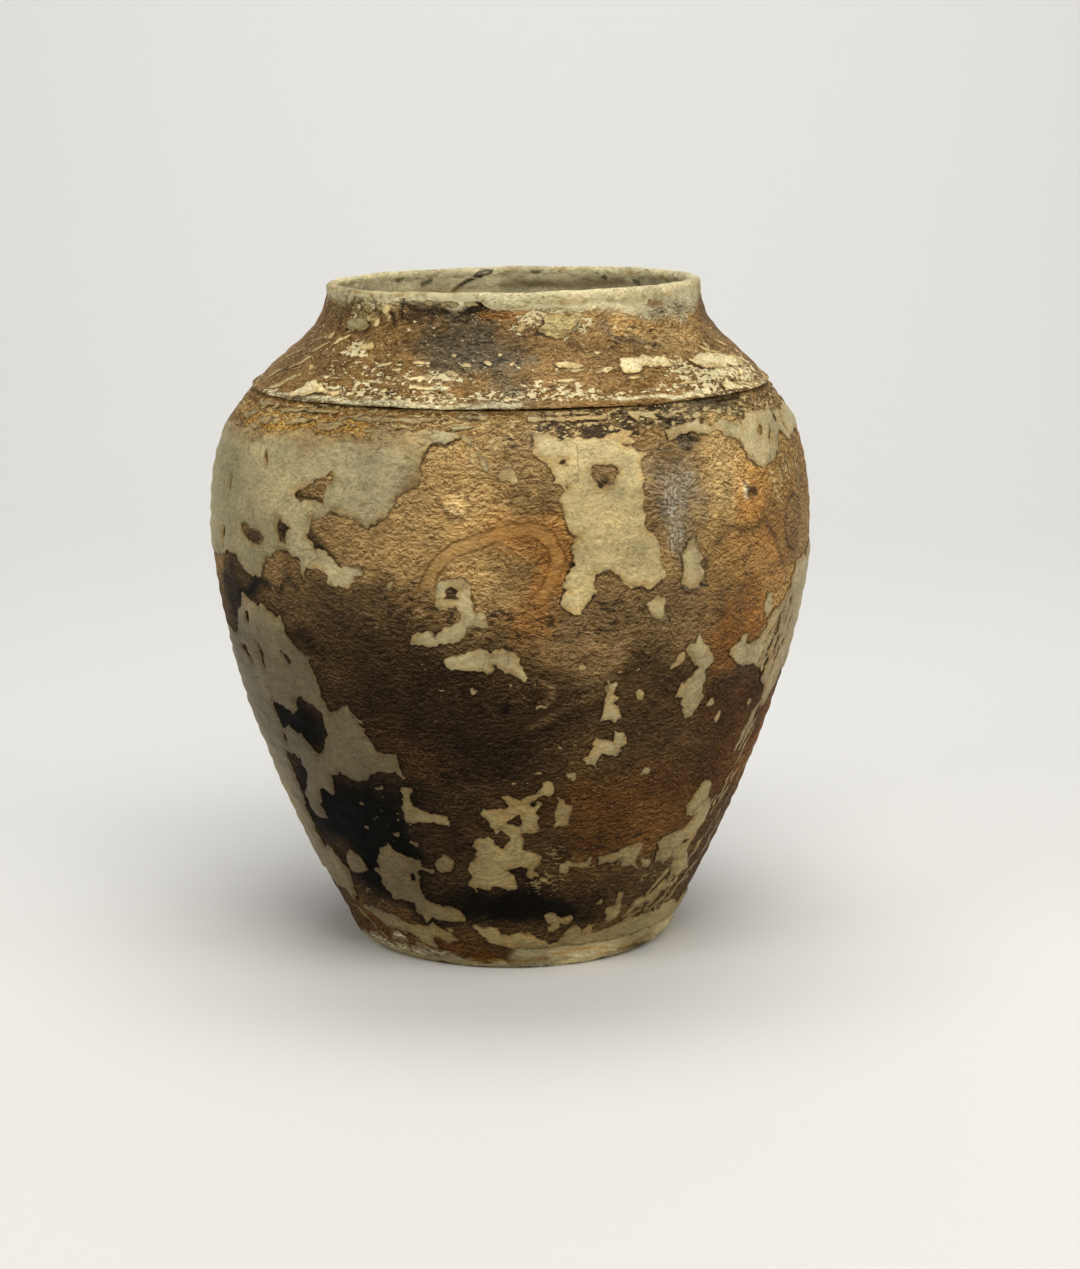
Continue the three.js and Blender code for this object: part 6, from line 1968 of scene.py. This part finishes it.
class Jar:
    """Builds the finished jar on the loaded frame."""

    def __init__(self, frame: dict) -> None:
        """Reads the outer lines of the two clay sections.
        """
        self.nodes = frame["nodes"]
        self.finish = Finish()
        body = node_rings(self.nodes["lower_body"], 1)
        body = body[body[:, 1] <= SEAM_HEIGHT - BODY_TOP_DROP]
        self.body_wall = Wall(np.vstack([body, [BODY_TOP_RADIUS, SEAM_HEIGHT]]))
        outer = node_rings(self.nodes["shoulder_collar"], 1)
        outer = outer[(outer[:, 0] > JOINT_RADIUS) | (outer[:, 1] > SEAM_HEIGHT + 4.0)]
        inner = node_rings(self.nodes["shoulder_collar"], -1)
        inner = inner[inner[:, 1] > NECK_LINE_END][::-1]
        self.collar_wall = Wall(np.vstack([outer, inner[1:]]))
        self.body_field = Field(self.body_wall, 0.0, SEAM_HEIGHT)
        self.collar_field = Field(self.collar_wall, SEAM_HEIGHT, RIM_HEIGHT)
        self.islands: list[Island] = []
        self.specks: list[Island] = []

    def add_specks(self) -> None:
        """Adds the small separate specks of slip that the frame has no node for."""
        fine = {"rough": 0.8, "cell": 0.42, "high": 0.40, "low": 0.22, "thick": 0.5, "halo": False}
        for place, shapes in ((self.body_field, BODY_SPECKS), (self.collar_field, SHOULDER_SPECKS)):
            for shape in shapes:
                self.specks.append(Island.from_shape("speck", place, shape, **fine))
        for azimuth, height in LEDGE_SHARDS:
            long = 1.6 + 0.6 * math.sin(azimuth * 1.7)
            shape = [(azimuth - long, height - 0.5), (azimuth, height + 0.1), (azimuth + long, height + 0.4),
                     (azimuth + 0.4, height - 0.5)]
            self.specks.append(Island.from_shape("shard", self.body_field, shape, **fine))
        for place, strips in ((self.body_field, BODY_STRIPS), (self.collar_field, SHOULDER_STRIPS)):
            for strip in strips:
                self.specks.append(self._strip(place, *strip, **fine))
        fine["rough"] = 1.1
        for place, dots in ((self.body_field, BODY_DOTS), (self.collar_field, SHOULDER_DOTS)):
            for number, dot in enumerate(dots):
                self.specks.append(self._dot(place, number, *dot, **fine))

    @staticmethod
    def _strip(
        place: Field, a0: float, h0: float, a1: float, h1: float, wide: float, **fine: float | bool
    ) -> Island:
        """Makes a long speck.

        Args:
            place: the field it lies on.
            a0: azimuth of one end.
            h0: its height percent.
            a1: azimuth of the other end.
            h1: its height percent.
            wide: width.
            fine: the island's other values.

        Returns:
            The speck.
        """
        ends = np.array([(a0, float(place.run(h0))), (a1, float(place.run(h1)))])
        k = math.radians(1.0) * float(place.wall.radius(ends[:, 1]).mean())
        along = (ends[1] - ends[0]) * [k, 1.0]
        across = np.array([-along[1], along[0]]) / np.hypot(*along) * wide / [k, 1.0]
        share = np.array([0.0, 0.2, 0.5, 0.8, 1.0, 0.85, 0.45, 0.15])[:, None]
        side = np.array([0.0, 0.5, 0.7, 0.35, 0.0, -0.35, -0.7, -0.45])[:, None]
        path = ends[0] + (ends[1] - ends[0]) * share + across * side
        return Island("strip", place.wall, np.stack([path, np.roll(path, -1, axis=0)], axis=1), **fine)

    @staticmethod
    def _dot(
        place: Field, number: int, azimuth: float, height: float, wide: float, tall: float,
        **fine: float | bool,
    ) -> Island:
        """Makes a round speck.

        Args:
            place: the field it lies on.
            number: its number, which varies its shape.
            azimuth: its centre.
            height: its centre, percent.
            wide: width.
            tall: height.
            fine: the island's other values.

        Returns:
            The speck.
        """
        centre = float(place.run(height))
        r = float(place.wall.radius(np.array([centre]))[0])
        turn = np.linspace(0.0, 2.0 * math.pi, 13)[:-1]
        swing = 1.0 + 0.25 * np.sin(turn * 2 + number) + 0.15 * np.sin(turn * 3 + 2 * number)
        a = azimuth + np.degrees(np.cos(turn) * swing * wide / 2 / r)
        path = np.stack([a, centre + np.sin(turn) * swing * tall / 2], axis=1)
        return Island("dot", place.wall, np.stack([path, np.roll(path, -1, axis=0)], axis=1), **fine)

    def read_islands(self) -> None:
        """Reads the outline of every island of slip from the frame."""
        for name, node in sorted(self.nodes.items()):
            if not name.startswith("slip_"):
                continue
            low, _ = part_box(name)
            wall = self.collar_wall if low.z / MM > SEAM_HEIGHT - 1.0 else self.body_wall
            place = self.body_field if wall is self.body_wall else self.collar_field
            if name in OUTLINES:
                island = Island.from_shape(name, place, OUTLINES[name])
            elif name == "slip_rim_coat":
                island = Island.from_node(node, wall, soft=1.0, halo=False, low=0.12, high=0.7)
            elif "_back_" in name:
                island = Island.from_node(node, wall, rough=1.9)
            else:
                island = Island.from_node(node, wall)
            for path, width in SLITS.get(name, []):
                island.slit(place, path, width)
            self.islands.append(island)

    def build_body(self) -> bpy.types.Object:
        """Turns the lower body with its relief.

        Returns:
            The piece.
        """
        wall = self.body_wall
        count = int(wall.length() / BODY_RING_STEP)
        run = np.linspace(0.0, wall.length(), count)
        outside = np.stack([wall.radius(run), wall.height(run)], axis=1)
        inner = node_rings(self.nodes["lower_body"], -1)
        inner = inner[inner[:, 1] < SEAM_HEIGHT + 0.01][::-1]
        top = np.array([[102.7, 232.0], [102.7, 234.0], [100.3, 234.0], [100.3, 232.0]])
        inside = resample(np.vstack([top, inner, [40.0, 8.0], [0.0, 8.0]]), INSIDE_RING_STEP)
        under = np.array([[0.0, 0.0], [20.0, 0.0], [40.0, 0.0], [58.0, 0.0]])
        chain = np.vstack([under, outside, inside])
        marks = np.concatenate([np.full(len(under), -1.0), run, np.full(len(inside), -2.0)])
        piece = turn_piece("thrown_body", chain, marks)
        self._shape(piece, wall, carve=True)
        return piece

    def build_collar(self) -> bpy.types.Object:
        """Turns the shoulder collar with its relief.

        Returns:
            The piece.
        """
        wall = self.collar_wall
        run = np.linspace(0.0, wall.length(), int(wall.length() / COLLAR_RING_STEP))
        outside = np.stack([wall.radius(run), wall.height(run)], axis=1)
        inner = node_rings(self.nodes["shoulder_collar"], -1)
        inner = inner[(inner[:, 1] < NECK_LINE_END) & (inner[:, 1] > 234.0)][::-1]
        low = np.array([[97.4, 232.3], [100.0, 232.3], [100.0, 234.4], [103.0, 234.4], [103.0, 232.3]])
        inside = resample(np.vstack([outside[-1:], inner, low, outside[:1]]), 6.0)[1:-1]
        chain = np.vstack([outside, inside])
        marks = np.concatenate([run, np.full(len(inside), -2.0)])
        piece = turn_piece("thrown_collar", chain, marks)
        self._shape(piece, wall, carve=False)
        return piece

    def _shape(self, piece: bpy.types.Object, wall: Wall, carve: bool) -> None:
        """Gives a turned piece its relief and notes how far the slip is.

        Args:
            piece: the turned piece.
            wall: its outer line.
            carve: whether it has the grooves below the ledge.
        """
        co = mesh_points(piece)
        run = get_float(piece, "run")
        azimuth = np.degrees(np.arctan2(co[:, 0], -co[:, 1]))
        outer = run >= 0.0
        flat = wall.surface(azimuth[outer], run[outer])
        lift = throwing_relief(flat)
        if carve:
            lift = lift * smoothstep(0.0, 3.0, run[outer]) + seam_carving(flat[:, 2])
        out = co.copy()
        out[outer] = wall.surface(azimuth[outer], run[outer], lift)
        set_points(piece, out)
        # gap: distance to the nearest island, measured a little higher up, so that the dark halo with its
        # painted contact shadow falls below each island.
        gap = np.full(len(co), NO_ISLAND)
        picked = np.flatnonzero(outer)
        for island in self.islands + self.specks:
            if island.wall is not wall or not island.halo:
                continue
            a0, a1, s0, s1 = island.span()
            az = island.centre + turn_between(azimuth[picked], island.centre)
            near = (az > a0 - NEAR_ISLAND) & (az < a1 + NEAR_ISLAND)
            near &= (run[picked] > s0 - NEAR_ISLAND) & (run[picked] < s1 + NEAR_ISLAND)
            if near.any():
                chosen = picked[near]
                inset = island.inset(azimuth[chosen], run[chosen] + UNDER_EDGE, flat[near])
                gap[chosen] = np.minimum(gap[chosen], -inset)
        set_float(piece, "gap", gap)
        set_float(piece, "turn", azimuth)

    def paint_clay(self, piece: bpy.types.Object, place: Field, coat: Coat) -> None:
        """Lays the fired colours on a clay piece.

        Args:
            piece: the piece.
            place: its field.
            coat: what is laid on it.
        """
        co = mesh_points(piece)
        run = np.maximum(get_float(piece, "run"), 0.0)
        azimuth = get_float(piece, "turn")
        colour = np.tile(coat.base.linear(), (len(co), 1))
        colour = place.paint(azimuth, run, co, coat.marks, colour)
        calm = place.cover(azimuth, run, co, coat.sheet, warp=2.0)
        if place is self.collar_field:
            lip = float(place.wall.run_at(RIM_HEIGHT))
            calm = np.maximum(calm, smoothstep(lip - 5.0, lip - 2.0, run))
        thin = P.RIM_CREAM if place is self.collar_field else P.CREAM
        colour += (thin.linear() - colour) * (calm * 0.92)[:, None]
        colour = place.paint(azimuth, run, co, coat.fine, colour, warp=1.2)
        set_float(piece, "calm", calm * CALM_SHARE)
        for name, marks in (("crumbs", coat.crumbs), ("scorch", coat.scorch), ("sheen", coat.sheen)):
            set_float(piece, name, place.cover(azimuth, run, co, marks) * (1.0 - calm))
        # Painted shade: on the body the crumbs grow darker and more straw-coloured towards the bottom.
        lit = smoothstep(25.0, 80.0, (co[:, 2] - place.low) / (place.high - place.low) * 100.0)[:, None]
        crumb = P.STRAW.linear() * (1.0 - lit) * 0.7 + P.WARM_CREAM.linear() * lit * 0.9
        if place is self.collar_field:
            crumb = np.tile(P.BRIGHT_CREAM.linear(), (len(co), 1))
        set_colour(piece, "crumb_tint", crumb)
        shade = 1.0 + 0.22 * PAINT_NOISE.at(co + 20.0, 26.0, 3)
        shade += 0.12 * PAINT_NOISE.at(co * [1, 1, 2.2], 5.0, 2)
        set_colour(piece, "tint", colour * shade[:, None])
        if place is self.body_field:
            path = np.array([(a, float(place.run(h))) for a, h in SWIRL])
            seg = np.stack([path[:-1], path[1:]], axis=1)
            away = segment_distance(azimuth, run, place.wall.radius(run), seg, 9.0)
            set_float(piece, "swirl", away)
            low = smoothstep(64.0, 74.0, (co[:, 2] - place.low) / (place.high - place.low) * 100.0)
            set_float(piece, "swirl_strength", low)
            set_float(piece, "calm", np.maximum(calm * CALM_SHARE, 0.5 * low * smoothstep(5.0, 1.5, away)))

    def paint_slip(self, piece: bpy.types.Object, place: Field) -> None:
        """Lays the stains on a piece of slip.

        Args:
            piece: the piece.
            place: the field it lies on.
        """
        co = mesh_points(piece)
        run, azimuth = get_float(piece, "run"), get_float(piece, "turn")
        percent = (co[:, 2] - place.low) / (place.high - place.low) * 100.0
        # Painted shade: on the body the slip grows darker and more straw-coloured towards the bottom.
        top, low = P.CREAM.linear(), P.STRAW.linear()
        share = smoothstep(20.0, 75.0, percent)[:, None]
        if place is self.collar_field:
            share = np.ones_like(share)
        colour = low * (1.0 - share) * 0.8 + top * share
        if place is self.body_field:
            colour = place.paint(azimuth, run, co, SLIP_MARKS, colour)
            stain = place.cover(azimuth, run, co, SLIP_STAIN)
        else:
            stain = np.full(len(co), 0.56 if piece.name == "slip_neck_crumb_flake" else 0.34)
            own = {"slip_neck_patch_flake": P.GREEN_CREAM, "slip_neck_crumb_flake": P.LEMON}
            colour[:] = own.get(piece.name, P.BRIGHT_CREAM).linear()
            if piece.name == "slip_rim_coat_flake":
                colour[:] = P.RIM_CREAM.linear()
                colour = place.paint(azimuth, run, co, RIM_MARKS, colour, warp=1.2)
            if piece.name == "slip_shoulder_specks":
                colour = place.paint(azimuth, run, co, SPECK_MARKS, colour)
        set_float(piece, "stain", stain)
        under = P.RIM_CREAM if piece.name == "slip_rim_coat_flake" else P.EARTH
        dim = np.where(place is self.collar_field, 1.0, 0.15 + 0.85 * smoothstep(40.0, 85.0, percent))
        set_colour(piece, "clay", under.linear() * dim[:, None])
        shade = 1.0 + 0.12 * PAINT_NOISE.at(co + 70.0, 18.0, 3)
        set_colour(piece, "tint", colour * shade[:, None])

    def build(self) -> None:
        """Builds every piece and hands it to the frame."""
        self.read_islands()
        self.add_specks()
        body = self.build_body()
        collar = self.build_collar()
        self.paint_clay(body, self.body_field, BODY_COAT)
        self.paint_clay(collar, self.collar_field, SHOULDER_COAT)
        self._hand_over(body, self.finish.smoked, "smoked_clay", "lower_body")
        self._hand_over(collar, self.finish.shoulder, "shoulder_clay", "shoulder_collar")
        for island in self.islands:
            piece = island.build()
            place = self.body_field if island.wall is self.body_wall else self.collar_field
            self.paint_slip(piece, place)
            self._hand_over(piece, self.finish.slip, "pale_slip", island.name)
        sections = {"slip_body_specks": self.body_field, "slip_shoulder_specks": self.collar_field}
        for name, place in sections.items():
            made = [island.build() for island in self.specks if island.wall is place.wall]
            deselect()
            for piece in made:
                piece.select_set(True)
            bpy.context.view_layer.objects.active = made[0]
            bpy.ops.object.join()
            specks = bpy.context.object
            specks.name = specks.data.name = name
            self.paint_slip(specks, place)
            self._hand_over(specks, self.finish.slip, "pale_slip")

    @staticmethod
    def _hand_over(piece: bpy.types.Object, material: bpy.types.Material, slot: str, *nodes: str) -> None:
        """Leans a finished piece, gives it its finish and hands it to the frame.

        Args:
            piece: the piece.
            material: its finish.
            slot: a slot name, which is only written to the log.
            nodes: the frame nodes it stands for.
        """
        set_points(piece, lean(mesh_points(piece)))
        piece.data.materials.clear()
        piece.data.materials.append(material)
        choose(piece)
        bpy.ops.object.shade_smooth_by_angle(angle=math.radians(SMOOTH_UNDER_DEG))
        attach(piece, "root")
        if nodes:
            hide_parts(*nodes)
        log.info("%s: %d vertices, %s", piece.name, len(piece.data.vertices), slot)


class Studio:
    """Floor, lamps and camera."""

    def build(self) -> None:
        """Sets up everything round the jar."""
        self._floor()
        self._lamp("top_softbox", 12.0, 54.0, 1.7, 1.1, 17.0, (1.0, 0.985, 0.95))
        self._lamp("left_softbox", -52.0, 22.0, 1.4, 0.55, 4.0, (1.0, 0.98, 0.95))
        self._lamp("right_softbox", 68.0, 18.0, 1.4, 0.55, 4.5, (1.0, 0.97, 0.92))
        self._backdrop_lamp()
        self._world()
        bpy.context.scene.view_settings.view_transform = "Standard"
        self._camera()

    @staticmethod
    def _world() -> None:
        """Makes a dim surround that only looks pale where the camera sees past the floor."""
        world = bpy.data.worlds.new("studio")
        world.use_nodes = True
        sh = Shader(world.node_tree)
        dim = world.node_tree.nodes["Background"]
        dim.inputs["Color"].default_value = (0.85, 0.87, 0.90, 1.0)
        dim.inputs["Strength"].default_value = 0.10
        pale = sh.node("Background", Color=(0.60, 0.59, 0.57), Strength=1.0)
        seen = sh.node("LightPath").outputs["Is Camera Ray"]
        mixed = sh.node("MixShader", i0=seen, i1=dim.outputs[0], i2=pale.outputs[0])
        sh.feed(world.node_tree.nodes["World Output"].inputs["Surface"], mixed.outputs[0])
        bpy.context.scene.world = world

    def _floor(self) -> None:
        """Lays the paper floor, which bends up behind the jar and stays pale all round."""
        deselect()
        bpy.ops.mesh.primitive_grid_add(x_subdivisions=8, y_subdivisions=60, size=1.0)
        floor = bpy.context.object
        floor.name = "sweep"
        co = mesh_points(floor, 1.0)
        depth = (co[:, 1] + 0.5) * 6.0
        bend, radius = 3.4, 1.0
        angle = np.clip((depth - bend) / radius, 0.0, math.pi / 2)
        rise = np.maximum(depth - bend - radius * math.pi / 2, 0.0)
        y = np.minimum(depth, bend) + radius * np.sin(angle) - 2.4
        z = radius * (1.0 - np.cos(angle)) + rise
        set_points(floor, np.stack([co[:, 0] * 7.0, y, z], axis=1) / MM)
        choose(floor)
        bpy.ops.object.shade_smooth()
        made = bpy.data.materials.new("paper")
        made.use_nodes = True
        bsdf = made.node_tree.nodes["Principled BSDF"]
        bsdf.inputs["Base Color"].default_value = (0.80, 0.79, 0.76, 1.0)
        bsdf.inputs["Roughness"].default_value = 0.9
        sh = Shader(made.node_tree)
        where = sh.where()
        away = sh.node("VectorMath", {"operation": "LENGTH"}, i0=where).outputs["Value"]
        depth_now = sh.node("SeparateXYZ", Vector=where).outputs["Y"]
        glow = sh.times(sh.ramp(away, 0.8, 2.3), sh.ramp(depth_now, 1.1, -0.3))
        sh.feed(bsdf.inputs["Emission Color"], sh.mix(glow, (0.0, 0.0, 0.0), (1.0, 0.985, 0.95)))
        bsdf.inputs["Emission Strength"].default_value = 0.40
        floor.data.materials.append(made)

    @staticmethod
    def _lamp(
        name: str, azimuth: float, elevation: float, away: float, size: float, power: float,
        tint: Sequence[float],
    ) -> None:
        """Hangs a square lamp that looks at the jar.

        Args:
            name: its name.
            azimuth: where it stands, degrees.
            elevation: how high it stands, degrees.
            away: distance, metres.
            size: side, metres.
            power: watts.
            tint: colour of the light.
        """
        data = bpy.data.lights.new(name, "AREA")
        data.shape = "SQUARE"
        data.size, data.energy, data.color = size, power, tint
        lamp = bpy.data.objects.new(name, data)
        bpy.context.scene.collection.objects.link(lamp)
        a, e = math.radians(azimuth), math.radians(elevation)
        spot = np.array([math.sin(a) * math.cos(e), -math.cos(a) * math.cos(e), math.sin(e)]) * away
        lamp.location = spot + np.array([0.0, 0.0, 0.15])
        lamp.rotation_euler = (math.pi / 2 - e, 0.0, a)

    @staticmethod
    def _backdrop_lamp() -> None:
        """Hangs the lamp that lights the backdrop."""
        data = bpy.data.lights.new("backdrop_lamp", "AREA")
        data.shape, data.size, data.energy = "SQUARE", 1.6, 34.0
        lamp = bpy.data.objects.new("backdrop_lamp", data)
        bpy.context.scene.collection.objects.link(lamp)
        lamp.location = (0.0, 0.55, 2.3)
        lamp.rotation_euler = (math.radians(38.0), 0.0, 0.0)

    @staticmethod
    def _camera() -> None:
        """Sets up the camera of the photograph."""
        data = bpy.data.cameras.new("camera")
        data.lens, data.sensor_width = 78.2, 36.0
        camera = bpy.data.objects.new("camera", data)
        bpy.context.scene.collection.objects.link(camera)
        camera.location = (0.01187, -1.1323, 0.3552)
        camera.rotation_euler = (math.radians(90.0 - 11.5), 0.0, 0.0)
        bpy.context.scene.camera = camera


def main() -> None:
    """Builds the whole scene on the frame."""
    logging.basicConfig(level=logging.INFO, format="%(message)s")
    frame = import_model()
    Jar(frame).build()
    Studio().build()
    log.info("studio built: floor, 4 lamps and camera")


if __name__ == "__main__":
    main()
